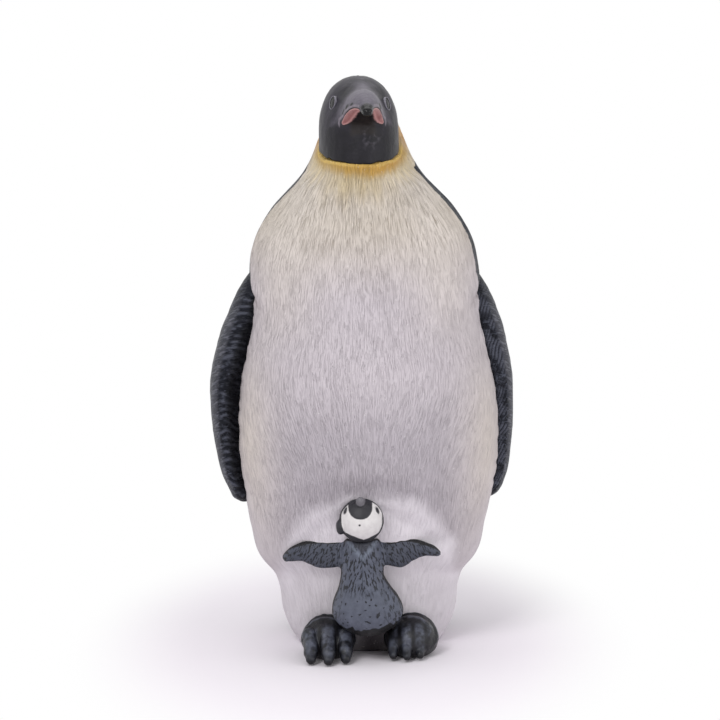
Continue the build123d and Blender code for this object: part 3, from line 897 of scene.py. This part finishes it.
def head_paint():
    """Charcoal with a bare grey brow and upper bill, rosy plates on the jaw and a black tip, and painted
    shade by the eyes and on the throat.
    """
    paint = Paint("head_paint")
    cloud, streak = paint.noise(1.6, 5.0), paint.noise(0.5, 4.0)
    paint.colour = paint.mix(paint.step(cloud, 0.3, 0.75), HEAD_BLACK, HEAD_GREY)
    # Painted shade in the hollows by the eyes and on the throat
    paint.coat(HEAD_PAINTED_SHADE, paint.field("shade"), 0.75)
    bare = paint.step(paint.shaken("bare", cloud, 0.9), -1.2, 1.4)
    paint.coat(paint.mix(streak, BARE_DARK, BARE_GREY), bare)
    paint.coat(UNDER_BROWN, paint.zone("under", -0.4, 0.4))
    paint.coat(paint.mix(streak, LIP_DARK, LIP_GREY), paint.zone("lip", -0.06, 0.1), 0.85)
    paint.coat(PIT_BLACK, paint.zone("pits", -0.06, 0.08))
    paint.coat(PLATE_BORDER, paint.zone("plate", -0.24, -0.1))
    worn = paint.spread(cloud, 0.55, 1.0, 0.3, 0.7)
    inner = paint.times(paint.zone("plate", 0.04, 0.26), worn)
    paint.coat(paint.mix(inner, PLATE_PINK, PLATE_RED), paint.ragged("plate", *PLATE_EDGE))
    tip = paint.ragged("tip", *TIP_EDGE)
    paint.coat(TIP_BLACK, tip)
    paint.coat(SCUFF_GREY, paint.times(paint.field("scuff"), paint.patches(*SMEARS)), 0.55)
    height = paint.math("ADD", paint.noise(0.45, 4.0), paint.times(paint.noise(1.4), 0.8))
    return paint.finish(height, cloud, paint.times(tip, 0.34))


def make_head():
    """Head with its bill, and the fields for the paint's zones."""
    margin, step = 0.8, 0.125
    low = np.array([-head_half_width, head_low[1], chin_height]) - margin
    high = np.array([head_half_width, head_back_reach, head_high[2]]) + margin
    made = sculpt("head_form", low, high, step, head_shape, head_paint(), "head")
    head, points, normals = made
    push_out(head, normals, points, 0.03 * noise(points, (0.9, 0.9, 1.6), 2))
    across, ahead = head_axes(points[:, 0], points[:, 1])
    z = points[:, 2]
    width, _, jaw, mouth = profile(BILL_ROWS, ahead)
    drop = (mouth - z) / jaw
    along = (ahead - plate_start) / (plate_end - plate_start)
    taper = np.clip(4 * along * (1 - along), 0, 1) ** 0.4
    plate = np.where(taper > 0, (plate_half_height * taper - np.abs(drop - plate_drop)) * jaw, OUTSIDE)
    lip = lip_half_height - np.abs(z - mouth - lip_rise)
    lip = np.where(np.abs(ahead - lip_middle) < lip_half_length, lip, OUTSIDE)
    lip = np.maximum(lip, gape_half_width - np.hypot(ahead - gape_place, 0.25 * (z - mouth + 0.3)))
    under = np.minimum(np.minimum(ahead - 7.6, drop - 0.3), 0.62 * width - np.abs(across))
    under = np.minimum(under, 3.0 - mouth + z)
    bare = np.minimum(ahead - 6.0 - 0.36 * (z - 83), z - mouth)
    brow = 1.2 - 0.8 * np.abs(across - 0.3)
    brow = brow - 0.5 * mound(z, 88.2, 0.7) - 1.6 * ramp(88.4, 89.6, z)
    bare = np.maximum(bare, np.where((ahead > 0) & (z > 85.5), brow, 3 * OUTSIDE))
    # Painted shade: darker hollows by the eyes beside the bill, and a darker throat
    socket = np.maximum(mound(across, -2.4, 1.2), mound(across, 3.2, 1.1)) * mound(z, 87.4, 1.3)
    throat = ramp(84.5, 80.5, z) * ramp(0, 5, ahead)
    scuff = mound(across, 1.2, 1.4) * mound(z, 80.9, 1.6) * (ahead > 0)
    pits = np.full(len(z), OUTSIDE)
    for side, pit_ahead, pit_rise, size in BILL_PITS:
        distance = np.hypot(pit_drawing_out * (ahead - pit_ahead), z - mouth - pit_rise)
        pits = np.maximum(pits, np.where(side * across > 0, size - distance, OUTSIDE))
    write_fields(head, tip=ahead - tip_place, bare=bare, plate=plate, lip=lip, under=under, pits=pits)
    write_fields(head, shade=np.maximum(throat, socket * (ahead > 3)), scuff=scuff)


def eye_paint():
    """Glossy black ball in a grey rim."""
    paint = Paint("eye_paint")
    ring = paint.zone("ring", 0.35, 0.65)
    grime = paint.noise(0.3, 4.0)
    paint.colour = paint.mix(grime, EYE_BLACK, EYE_GRIME)
    paint.coat(paint.mix(grime, EYE_RIM_DARK, EYE_RIM_GREY), ring)
    return paint.finish(grime, ring)


def make_eye(name, side, material):
    """Glossy almond eye inside a raised rim."""
    centre, across, up, out = eye_place(side)
    rows, columns = 24, 64
    size = np.linspace(1.0, 0.03, rows)[:, None]
    angle = np.linspace(0, 2 * np.pi, columns, endpoint=False)[None, :]
    pinch = 1 - eye_pinch * np.abs(np.sin(angle)) ** 3
    ball = 0.85 * np.sqrt(np.maximum(1 - (size / eye_ball_share) ** 2, 0))
    rim = mound(size, eye_rim_share, 0.09)
    rise = eye_stand_out * (np.maximum(ball, rim) - 2.6 * ramp(0.88, 1.0, size)) - eye_sink
    u, v = size * eye_half_width * np.cos(angle) * pinch, size * eye_half_height * np.sin(angle)
    grid = centre + u[..., None] * across + v[..., None] * up + (rise + 0 * angle)[..., None] * out
    faces = grid_faces(rows, columns, True) + end_faces(rows, columns)
    eye = make_piece(name, grid, faces, material)
    write_fields(eye, ring=band(size, eye_ball_share, 0.84, 0.92, 0.97) + 0 * angle)


make_head()
eye_material = eye_paint()
make_eye("left_eye", 1, eye_material)
make_eye("right_eye", -1, eye_material)

# Flippers
flipper_front_reach = 5.2
flipper_back_reach = 7.2
flipper_half_thickness = 3.0
flipper_setback = 1.0
flipper_girth = 24
hatch_wander = 0.45
hatch_depth = 0.32

# Rows of (length, front reach, back reach, half thickness) down a flipper
FLIPPER_SHARES = [
    (0.00, 0.30, 0.36, 0.50),
    (0.08, 0.67, 0.70, 0.85),
    (0.20, 0.92, 0.90, 1.15),
    (0.35, 1.00, 1.00, 1.14),
    (0.52, 0.96, 0.97, 1.00),
    (0.70, 0.85, 0.86, 0.88),
    (0.85, 0.68, 0.69, 0.74),
    (0.94, 0.50, 0.50, 0.62),
    (0.98, 0.32, 0.32, 0.50),
    (1.00, 0.08, 0.08, 0.20),
]

# Rows of (length, stand-out from the torso in mm of the penguin's own left and right flipper)
STAND_OUT_ROWS = [
    (0.00, -0.9, -0.9),
    (0.085, 1.2, 1.3),
    (0.166, 2.9, 3.15),
    (0.25, 3.65, 4.3),
    (0.35, 3.6, 4.65),
    (0.45, 3.45, 4.7),
    (0.58, 3.1, 4.3),
    (0.75, 2.75, 3.75),
    (0.91, 2.45, 3.05),
    (0.955, 2.0, 2.5),
    (0.985, 1.2, 2.0),
    (1.00, 0.2, 1.1),
]

# Screen colours of the flippers and the tail
FLIPPER_BLACK = (9, 10, 16)
FLIPPER_SLATE = (30, 32, 42)
FEATHER_GREY = (98, 102, 115)
RIB_GREY = (98, 101, 114)
SCRIBBLE_GREY = (96, 100, 114)
INNER_PAINTED_SHADE = (3, 3, 7)
OUTER_RIM_GREY = (104, 105, 114)


def flipper_paint():
    """Blue-black with grey on the raised feathers, scribbled brush marks, a lighter grey outer rim, and
    painted shade along the inner edge of the front.
    """
    paint = Paint("flipper_paint")
    flow = paint.field("flow", "Vector")
    scales = paint.streaks(flow, *SCALE_STROKES)
    cloud = paint.noise(1.3, 4.0)
    paint.colour = paint.mix(cloud, FLIPPER_BLACK, FLIPPER_SLATE)
    paint.coat(FEATHER_GREY, paint.times(scales, paint.patches(*FEATHER_PATCHES)), 0.4)
    paint.coat(RIB_GREY, paint.field("rib"), 0.55)
    level = paint.math("ABSOLUTE", paint.math("SUBTRACT", paint.noise(1.3, 1.0), 0.5))
    loops = paint.times(paint.step(level, 0.04, 0.012), paint.patches(*LOOP_PATCHES))
    paint.coat(SCRIBBLE_GREY, paint.times(loops, paint.field("brushed")), 0.5)
    # Painted shade: near black on the inner edge of the front, beside the belly
    paint.coat(INNER_PAINTED_SHADE, paint.field("inner"), 0.85)
    # Lighter grey on the outer rim
    paint.coat(OUTER_RIM_GREY, paint.times(paint.field("outer"), paint.spread(scales, 0.3, 0.8)))
    height = paint.math("ADD", scales, paint.times(paint.streaks(flow, *BARB_STROKES), 0.5))
    return paint.finish(height, cloud)


def make_flipper(name, side, material, rim_start, hatch, groove_step, rib_start):
    """One flipper along the torso's side, with rows of short feathers, a lighter grey outer rim, and
    painted shade on the inner edge of its front.
    """
    low, high = node_box(name)
    rows, columns = 190, 130
    share = np.linspace(0, 1, rows)[:, None]
    angle = np.linspace(-np.pi, np.pi, columns, endpoint=False)[None, :]
    out, ahead = np.cos(angle), np.sin(angle)
    z = high[2] + (low[2] - high[2]) * share
    front, back, thickness = profile(FLIPPER_SHARES, share)
    thickness = thickness * flipper_half_thickness
    stand_out = profile(STAND_OUT_ROWS, share)[0 if side > 0 else 1]
    centre = profile(TORSO_SHARES, z / torso_height)[0] * belly_half_width + stand_out - thickness
    reach = np.where(ahead > 0, front * flipper_front_reach, back * flipper_back_reach)
    y = flipper_setback - reach * ahead
    grid = np.stack([side * (centre + thickness * out), y, z + 0 * angle], axis=-1)
    flow = on_plane(z + 0.35 * y, angle / (2 * np.pi) * flipper_girth)
    leading = ramp(0.2, 0.6, ahead) * band(share, 0.05, 0.15, 0.9, 0.99)
    wander = hatch_wander * noise(flow, (2.2, 2.0), 8)
    slant = hatch * thickness * out
    grooves = np.abs(np.sin(np.pi * (z + 0.5 * y - slant + wander) / groove_step)) ** 0.6
    relief = 0.1 * noise(flow, (0.9, 2.4), 4) + 0.08 * noise(flow, (3.0, 5.0), 6)
    relief = relief * (0.3 + 0.7 * leading)
    relief = relief + hatch_depth * (grooves - 0.8) * leading * ramp(0.75, 0.45, out)
    grid = grid + side * grid_normals(grid) * relief[..., None]
    faces = grid_faces(rows, columns, True) + end_faces(rows, columns)
    piece = make_piece(name + "_form", grid, faces, material, name)
    outer = ramp(rim_start, rim_start + 0.16, out) * ramp(-0.25, 0.1, ahead)
    outer = outer * ramp(0.05, 0.25, share)
    broken = ramp(-0.35, 0.45, noise(flow, (1.5, 1.3), 12))
    rib = leading * ramp(rib_start, 1.0, grooves) * broken * (1 - outer)
    write_fields(piece, flow=with_zero(flow), outer=outer, brushed=leading * ramp(0.3, 0.5, share))
    # The inner field is painted shade along the front's inner edge, beside the belly
    write_fields(piece, rib=rib, inner=leading * ramp(0.25, -0.15, out))


flipper_material = flipper_paint()
left_look = {"rim_start": 0.58, "hatch": 2.2, "groove_step": 1.0, "rib_start": 0.35}
right_look = {"rim_start": 0.46, "hatch": 0.2, "groove_step": 1.15, "rib_start": 0.8}
make_flipper("left_flipper", 1, flipper_material, **left_look)
make_flipper("right_flipper", -1, flipper_material, **right_look)

# Tail under the back
tail_root_reach = 10.9
tail_half_width = 6.4
tail_thickness = 8.0
tail_root_height = 6.0
tail_shaft_depth = 0.22
tail_clearance = 0.05

# Rows of (length, half width, thickness above, thickness below, height) along the tail
TAIL_SHARES = [
    (0.00, 1.00, 1.00, 1.00, 1.00),
    (0.33, 0.97, 0.84, 0.84, 0.72),
    (0.66, 0.82, 0.52, 0.56, 0.38),
    (0.90, 0.56, 0.26, 0.28, 0.15),
    (1.00, 0.22, 0.10, 0.12, 0.07),
]


def make_tail(material):
    """Stiff tail feathers that reach down to the floor."""
    rows, columns = 90, 110
    share = np.linspace(0, 1, rows)[:, None]
    angle = np.linspace(0, 2 * np.pi, columns, endpoint=False)[None, :]
    width, above, below, lift = profile(TAIL_SHARES, share)
    x = width * tail_half_width * np.cos(angle)
    thick = np.where(np.sin(angle) > 0, above, below) * tail_thickness / 2
    z = lift * tail_root_height + thick * np.sin(angle)
    y = tail_root_reach + share * (back_high[1] - tail_root_reach) + 0 * angle
    shaft = tail_shaft_depth * np.abs(np.sin(x * 2.2)) * ramp(0.2, 0.6, share)
    z = np.maximum(z - shaft * (np.sin(angle) > 0), tail_clearance)
    faces = grid_faces(rows, columns, True) + end_faces(rows, columns)
    tail = make_piece("tail", np.stack([x, y, z], axis=-1), faces, material)
    plain = np.zeros(rows * columns)
    write_fields(tail, flow=with_zero(on_plane(x, y)), outer=plain, brushed=plain, rib=plain, inner=plain)


make_tail(flipper_material)

# Feet, by side where they differ
foot_spacing = (foot_low[0] + foot_high[0]) / 2
toe_spacing = {1: 2.1, -1: 2.7}
toe_shift = {1: -0.85, -1: 0.0}
toe_fan = 0.25
toe_radius = {1: 0.98, -1: 1.25}
toe_back_set = {1: 2.4, -1: 0.7}
outer_toe_back_set = 0.9
knuckle_height = 3.9
bend_height = 3.7
pad_height = 1.7
claw_height = 0.95
instep_waist = 2.2
instep_half_width = 4.2
wrinkle_step = 1.35
wrinkle_depth = 0.16

# Screen colours of the feet
FOOT_BLACK = (10, 10, 13)
FOOT_GREY = (26, 26, 32)
BRUSHED_HIGHLIGHT_GREY = (92, 96, 110)


def foot_shape(side):
    """Field of one foot: a feathered instep and three toes with claws, flat underneath."""
    front, back, top = foot_low[1], foot_high[1], foot_high[2]
    reach = back - front
    radius = toe_radius[side]

    def shape(x, y, z):
        """Field of the foot on this side."""
        place = side * x - foot_spacing
        half_height = np.where(z > instep_waist, top - instep_waist, 1.3 * instep_waist)
        along = (y - front - 0.66 * reach) / (0.36 * reach)
        form = (norm(place / instep_half_width, along, (z - instep_waist) / half_height) - 1) * 3.6
        for step in (-1, 0, 1):
            start = front + toe_back_set[side] + outer_toe_back_set * step**2
            middle = toe_shift[side] + step * toe_spacing[side]
            knuckle = (middle - step * toe_fan, front + 0.56 * reach, knuckle_height)
            bend = (middle, start + 0.34 * reach, bend_height)
            pad = (middle, start + 0.15 * reach, pad_height)
            claw = (middle, start + 1.0, claw_height)
            toe = round_cone(place, y, z, knuckle, bend, radius, radius)
            toe = smooth_min(toe, round_cone(place, y, z, bend, pad, radius, 0.9 * radius), 0.2)
            toe = smooth_min(toe, round_cone(place, y, z, pad, claw, 0.88 * radius, 0.62 * radius), 0.15)
            form = smooth_min(form, toe, 0.15)
        return smooth_max(form, 0.02 - z, 0.2)

    return shape


def foot_paint():
    """Black with grey dry-brushing on what stands out, partly painted highlight on the upward tops of the
    toes and wrinkles.
    """
    paint = Paint("foot_paint")
    cloud = paint.noise(0.8, 4.0)
    paint.colour = paint.mix(cloud, FOOT_BLACK, FOOT_GREY)
    paint.coat(BRUSHED_HIGHLIGHT_GREY, paint.times(paint.field("high"), paint.patches(*DRY_BRUSH_AND_HIGHLIGHT_PATCHES)))
    return paint.finish(paint.noise(0.4, 4.0), cloud)


def make_foot(side, name, material):
    """One foot, with wrinkles over its instep."""
    low, high = node_box(name)
    margin, step = 0.7, 0.1
    made = sculpt(
        name + "_form", low - margin, high + margin, step, foot_shape(side), material, name
    )
    foot, points, normals = made
    along = (points[:, 1] - low[1]) / (high[1] - low[1])
    place = side * points[:, 0] - foot_spacing
    fold = 0.75 * (points[:, 1] - points[:, 2]) - 0.1 * place**2 + 0.6 * noise(points, 1.8, 9)
    ridge = np.sin(2 * np.pi * fold / wrinkle_step)
    upper = ramp(-0.3, 0.2, normals[:, 2]) * ramp(0.36, 0.46, along)
    relief = wrinkle_depth * ridge * upper + 0.06 * noise(points, (0.6, 1.4, 1.6), 3)
    push_out(foot, normals, points, relief * ramp(0.1, 0.8, points[:, 2]))
    # Painted highlight, partly dry-brushing: lighter on the upward tops of the toes and the wrinkle ridges
    toe_place = (place - toe_shift[side]) / toe_spacing[side]
    toe_middle = ramp(0.46, 0.22, np.abs(toe_place - np.clip(np.round(toe_place), -1, 1)))
    knuckle = 0.25 + 0.75 * ramp(1.2, 3.0, points[:, 2])
    high_light = knuckle * toe_middle * ramp(-0.3, 0.5, normals[:, 2]) * ramp(0.5, 0.36, along)
    wrinkle_highlight = 0.8 * ramp(0.5, 0.95, ridge) * upper * ramp(0.9, 0.65, along)
    write_fields(foot, high=np.maximum(high_light, wrinkle_highlight))


foot_material = foot_paint()
make_foot(1, "left_foot", foot_material)
make_foot(-1, "right_foot", foot_material)

# Chick, which stands on the feet against the skirt
chick_centre = -1.0
chick_reach = 15.4
chick_half_width = 5.8
chick_front_reach = 4.8
chick_back_reach = 4.6
chick_base_height = chick_low[2]
chick_height = chick_high[2] - chick_base_height
chick_lean = 0.7
wing_stand_out = 0.9
wing_tip_reach = 2.3
fringe_height = 5.9
bib_height = 17.7
bib_slope = 1.05
bib_half_width = 3.0

# Rows of (height, half width, front reach) up the chick's body
CHICK_SHARES = [
    (0.000, 0.34, 0.40),
    (0.070, 0.66, 0.75),
    (0.150, 0.86, 0.95),
    (0.220, 0.94, 1.00),
    (0.290, 0.955, 1.00),
    (0.380, 0.87, 0.95),
    (0.470, 0.73, 0.89),
    (0.590, 0.59, 0.85),
    (0.750, 0.57, 0.86),
    (0.900, 0.54, 0.86),
    (1.000, 0.45, 0.80),
]

# Rows of (distance from the chick's middle, height, half height) along its own right and left flipper
RIGHT_WING_ROWS = [
    (1.5, 17.1, 1.9),
    (4.3, 16.8, 2.1),
    (6.8, 16.65, 2.15),
    (9.6, 17.0, 1.45),
    (11.4, 16.35, 1.0),
    (12.1, 15.95, 0.62),
    (12.4, 15.85, 0.2),
]
LEFT_WING_ROWS = [
    (1.5, 17.0, 1.85),
    (4.2, 16.9, 1.95),
    (6.2, 16.8, 2.25),
    (8.1, 17.3, 1.65),
    (9.8, 17.4, 1.1),
    (11.2, 17.0, 0.8),
    (11.9, 16.65, 0.5),
    (12.2, 16.5, 0.2),
]

# Screen colours of the chick
DOWN_DARK = (58, 62, 75)
DOWN_LIGHT = (98, 103, 118)
WING_GREY = (42, 44, 55)
WASH_BLACK = (16, 17, 23)
STRAP_GREY = (116, 124, 139)
BIB_DARK = (44, 45, 54)
BIB_GREY = (72, 74, 85)
EDGE_BLACK_AND_SHADE = (11, 11, 15)
FACE_GREY = (196, 192, 192)
FACE_WHITE = (224, 222, 221)
SMUDGE_GREY = (150, 142, 144)
HOOD_BLACK = (22, 21, 26)
HOOD_GREY = (46, 45, 52)
CHICK_BILL_DARK = (80, 77, 82)
CHICK_BILL_GREY = (122, 120, 126)


def skirt_front(x, z):
    """Where the skirt's front lies along Y."""
    width, front, _ = profile(SKIRT_SHARES, z / skirt_height)
    return -front * skirt_front_reach * np.sqrt(np.maximum(1 - (x / (width * skirt_half_width)) ** 2, 0.05))


def chick_shape(x, y, z):
    """Field of the chick's body, with two flippers spread along the skirt."""
    width, front = profile(CHICK_SHARES, (z - chick_base_height) / chick_height)
    reach = np.where(y < -chick_reach, front * chick_front_reach, chick_back_reach)
    lean = chick_lean * ramp(14.0, 8.0, z)
    body = oval_field(x - chick_centre - lean, y + chick_reach, width * chick_half_width, reach)
    form = smooth_max(body, np.maximum(chick_base_height - z, z - chick_high[2]), 0.4)
    for side, rows in ((-1, RIGHT_WING_ROWS), (1, LEFT_WING_ROWS)):
        away = side * (x - chick_centre)
        middle, half_height = profile(rows, away)
        depth = skirt_front(x, middle) - wing_stand_out - wing_tip_reach * ramp(6.5, 12.4, away)
        wing = oval_field(z - middle, y - depth, half_height, 1.15 - 0.03 * away)
        form = smooth_min(form, cut_off(wing, away, rows[0][0], rows[-1][0]), 0.5)
    return form


def chick_paint():
    """Slate grey down with a black wash, a dark bib with a pale strap, and black edges that are partly a
    painted outline and partly painted shade.
    """
    paint = Paint("chick_paint")
    marks = paint.times(paint.streaks(paint.field("flow", "Vector"), *DOWN_STROKES), paint.field("marks"))
    dots = paint.times(paint.patches(*DOTS), paint.field("dots"))
    wash = paint.math("MAXIMUM", marks, dots)
    cloud = paint.noise(0.9, 4.0)
    paint.colour = paint.mix(cloud, DOWN_DARK, DOWN_LIGHT)
    paint.coat(WING_GREY, paint.field("wing"), 0.45)
    paint.coat(WASH_BLACK, wash, 0.92)
    paint.coat(STRAP_GREY, paint.field("strap"), 0.7)
    paint.coat(paint.mix(cloud, BIB_DARK, BIB_GREY), paint.ragged("bib", *BIB_EDGE))
    # Black along the edges: partly painted outline, partly painted shade
    edge = paint.math("ADD", paint.field("edge"), paint.times(cloud, 0.4))
    paint.coat(EDGE_BLACK_AND_SHADE, paint.step(edge, 0.5, 0.8))
    return paint.finish(paint.math("SUBTRACT", paint.times(cloud, 0.4), wash), cloud)


def make_chick():
    """The chick's body, with tufts of down and a fringe at its foot."""
    margin, step = 0.7, 0.11
    low = chick_low - margin - np.array([1.0, 0, 0])
    material = chick_paint()
    made = sculpt(
        "chick_form", low, chick_high + margin, step, chick_shape, material, "chick_body"
    )
    chick, points, normals = made
    x, z = points[:, 0] - chick_centre, points[:, 2]
    off_middle = np.abs(x)
    wing = ramp(3.2, 4.4, off_middle) * ramp(13.5, 15.0, z)
    down = on_plane(x + 0.25 * z * np.sign(x), z)
    span = on_plane(off_middle + 0.5 * z, 1.2 * z - 0.4 * off_middle)
    flow = np.where(wing[:, None] > 0.5, span, down)
    relief = 0.09 * noise(flow, (0.7, 2.2), 5) + 0.05 * noise(points, 1.3, 8)
    push_out(chick, normals, points, relief * (1 - 0.6 * wing))
    chest = ramp(10.0, 12.5, z) + 0.9 * ramp(2.6, 4.6, off_middle)
    # Black edges: partly a painted outline, partly painted shade where the down turns away from the front,
    # along the foot's fringe and on the tops of the flippers
    edge = 1 - ramp(0.06, 0.42, -normals[:, 1])
    fringe = fringe_height + 0.4 * noise(points[:, :1], (0.45,), 6) + 0.3 * noise(points[:, :1], (1.3,), 2)
    edge = np.maximum(edge, ramp(0.3, -0.3, z - fringe - 0.02 * x**2))
    edge = np.maximum(edge, wing * ramp(0.35, 0.7, normals[:, 2]))
    above_v = z - bib_height - bib_slope * np.abs(x - 0.1)
    strap = mound(above_v, -0.75, 0.45) * ramp(3.3, 2.6, off_middle) * ramp(15.2, 16.4, z)
    dots = ramp(12.5, 10.5, z) * ramp(4.2, 3.0, off_middle)
    write_fields(chick, flow=with_zero(flow), marks=np.clip(chest, 0, 1), dots=dots, edge=edge)
    write_fields(chick, bib=np.minimum(above_v, bib_half_width - off_middle), strap=strap, wing=wing)


make_chick()

# Chick's head, tipped back so that the bill points up; places are from its centre
face_radius = (face_high[0] - face_low[0]) / 2
face_centre = np.array([chick_centre, face_low[1] + face_radius, 22.9])
bill_base = (-0.1, -1.5, 2.4)
bill_end = (-0.1, -2.3, 3.35)
rim_radius = 3.12
rim_half_width = 0.3
patch_radius = 1.85
patch_squareness = 2.3
slit_across = 2.45
slit_rise = 1.7
slit_radius = 0.22


def face_shape(x, y, z):
    """Field of the chick's head: a ball with a bill, an ear lump and a rim round the face."""
    x, y, z = (axis - middle for axis, middle in zip((x, y, z), face_centre))
    ball = norm(x, y, z / 1.02) - face_radius
    form = smooth_min(ball, round_cone(x, y, z, bill_base, bill_end, 0.85, 0.62), 0.35)
    lump = norm((x + 3.2) / 0.75, (y + 0.6) / 1.3, (z + 0.9) / 1.2) - 1
    form = smooth_min(form, 0.9 * lump, 0.25)
    rim = np.hypot(np.hypot(x, z) - rim_radius, y + 0.55) - rim_half_width
    return smooth_min(form, rim, 0.2)


def face_paint():
    """White face in a black hood, with a grey bill."""
    paint = Paint("chick_face_paint")
    cloud = paint.noise(0.7, 4.0)
    paint.colour = paint.mix(cloud, FACE_GREY, FACE_WHITE)
    paint.coat(SMUDGE_GREY, paint.patches(*SMUDGES), 0.35)
    paint.coat(paint.mix(cloud, HOOD_BLACK, HOOD_GREY), paint.ragged("hood", *HOOD_EDGE))
    bill = paint.ragged("bill", *CHICK_BILL_EDGE)
    paint.coat(paint.mix(cloud, CHICK_BILL_DARK, CHICK_BILL_GREY), bill)
    return paint.finish(paint.noise(0.5, 4.0), cloud)


def make_face():
    """The chick's head, and the fields for its hood, eyes and bill."""
    margin, step = 0.6, 0.085
    low = face_centre - face_radius - margin - np.array([0.6, 0.6, 0])
    high = face_centre + face_radius + margin + np.array([0, 0, 0.6])
    material = face_paint()
    made = sculpt(
        "chick_face_form", low, high, step, face_shape, material, "chick_head"
    )
    face, points, normals = made
    x, y, z = (points - face_centre).T
    push_out(face, normals, points, 0.03 * noise(points, 0.7, 4))
    patch = np.abs(x + 0.15) ** patch_squareness + np.maximum(2.5 - z, 0) ** patch_squareness
    patch = patch_radius - patch ** (1 / patch_squareness)
    round_edge = np.maximum(np.hypot(x - 0.06, z) - 3.1 - 0.16 * ramp(0.0, 1.2, z), y + 0.75)
    round_edge = np.maximum(round_edge, 0.4 * np.abs(x - 0.3) - 2.75 - z)
    marks = np.maximum(patch, 0.16 - np.hypot(x + 0.3, z + 0.25))
    for side in (-1, 1):
        below = slit_rise - z
        slit = np.hypot((x - side * slit_across) - 0.35 * side * below, 0.42 * below)
        marks = np.maximum(marks, slit_radius - slit)
    front = y < 0
    hood = np.maximum(round_edge, np.where(front, marks, OUTSIDE))
    bill = 0.74 - np.hypot(x + 0.1, z - 3.3)
    write_fields(face, hood=hood, bill=np.where(front, bill, OUTSIDE))


make_face()

# Camera: distance and focal length give the photograph's scale, and the roll its slight lean
camera_distance = 480.0
camera_elevation = 8.0
camera_roll = -1.0
sensor_width = 36.0
frame_width = 114.2
aim = np.array([-0.8, 0.0, 45.0])

# Floor: half its width in metres, and distances from the object at which it has faded to white; the grey
# floor inside that fade is partly painted shadow round the object
floor_reach = 3.0
fade_width = 48.0
fade_depth = 86.0
fade_centre = -3.0
FLOOR_SHADE = (236, 231, 237)
FLOOR_WHITE = (240, 235, 241)

# Lamps: name, place and size in mm, power; and the strength of the surroundings as light
LAMPS = [
    ("key", (-190, -410, 430), 220, 1.3),
    ("fill", (420, -300, 200), 400, 0.62),
    ("top", (0, 110, 520), 400, 0.62),
]
world_light = 0.65


def add_camera():
    """Camera in front of the object and a little above it."""
    lens = bpy.data.cameras.new("camera")
    lens.sensor_width = sensor_width
    lens.lens = lens.sensor_width * camera_distance / frame_width
    camera = add_object("camera", lens)
    lift = np.radians(camera_elevation)
    camera.location = (aim + camera_distance * np.array([0, -np.cos(lift), np.sin(lift)])) * MM
    towards = Vector(aim * MM) - camera.location
    turn = towards.to_track_quat("-Z", "Y").to_matrix() @ Matrix.Rotation(np.radians(camera_roll), 3, "Z")
    camera.rotation_euler = turn.to_euler()
    bpy.context.scene.camera = camera


def add_floor():
    """Wide pale grey floor, which keeps the object's shadow and fades to white away from it; the grey near
    the object is partly painted shadow.
    """
    mesh = bpy.data.meshes.new("floor")
    corners = [(x * floor_reach, y * floor_reach, 0) for x, y in ((-1, -1), (1, -1), (1, 1), (-1, 1))]
    mesh.from_pydata(corners, [], [(0, 1, 2, 3)])
    floor = add_object("floor", mesh)
    paint = Paint("floor_paint")
    paint.colour = paint.mix(paint.noise(90.0), FLOOR_SHADE, FLOOR_WHITE)
    mesh.materials.append(paint.finish(paint.noise(2.0)))
    centred = paint.add("VectorMath", {0: paint.place, 1: (fade_centre, 0.0, 0.0)}, operation="SUBTRACT")
    shares = (1 / fade_width, 1 / fade_depth, 0.0)
    scaled = paint.add("VectorMath", {0: centred, 1: shares}, operation="MULTIPLY")
    distance = paint.add("VectorMath", {0: scaled}, "Value", operation="LENGTH")
    # Painted shadow, in part: the grey floor shows only near the object, with white emission beyond
    far = paint.times(paint.step(distance, 0.5, 0.97), paint.seen())
    white = paint.add("Emission", {"Strength": 1.0})
    surface = paint.add("MixShader", {0: far, 1: paint.nodes["Principled BSDF"].outputs[0], 2: white})
    paint.put(paint.nodes["Material Output"].inputs["Surface"], surface)


def add_lamp(name, place, size, power):
    """Soft square lamp, aimed at the middle of the object; place and size in mm."""
    lamp = bpy.data.lights.new(name, "AREA")
    lamp.size = size * MM
    lamp.energy = power
    holder = add_object(name, lamp)
    holder.location = np.array(place) * MM
    holder.rotation_euler = (Vector(aim * MM) - holder.location).to_track_quat("-Z", "Y").to_euler()


def add_world():
    """White surroundings: full strength where they are seen, softer as light."""
    world = bpy.data.worlds.new("studio")
    world.use_nodes = True
    bpy.context.scene.world = world
    tree = Nodes(world.node_tree)
    background = tree.nodes["Background"]
    tree.put(background.inputs["Color"], (1.0, 1.0, 1.0, 1.0))
    tree.put(background.inputs["Strength"], tree.spread(tree.seen(), world_light, 1.0))


add_camera()
add_floor()
for lamp_row in LAMPS:
    add_lamp(*lamp_row)
add_world()
bpy.context.scene.view_settings.view_transform = "Standard"
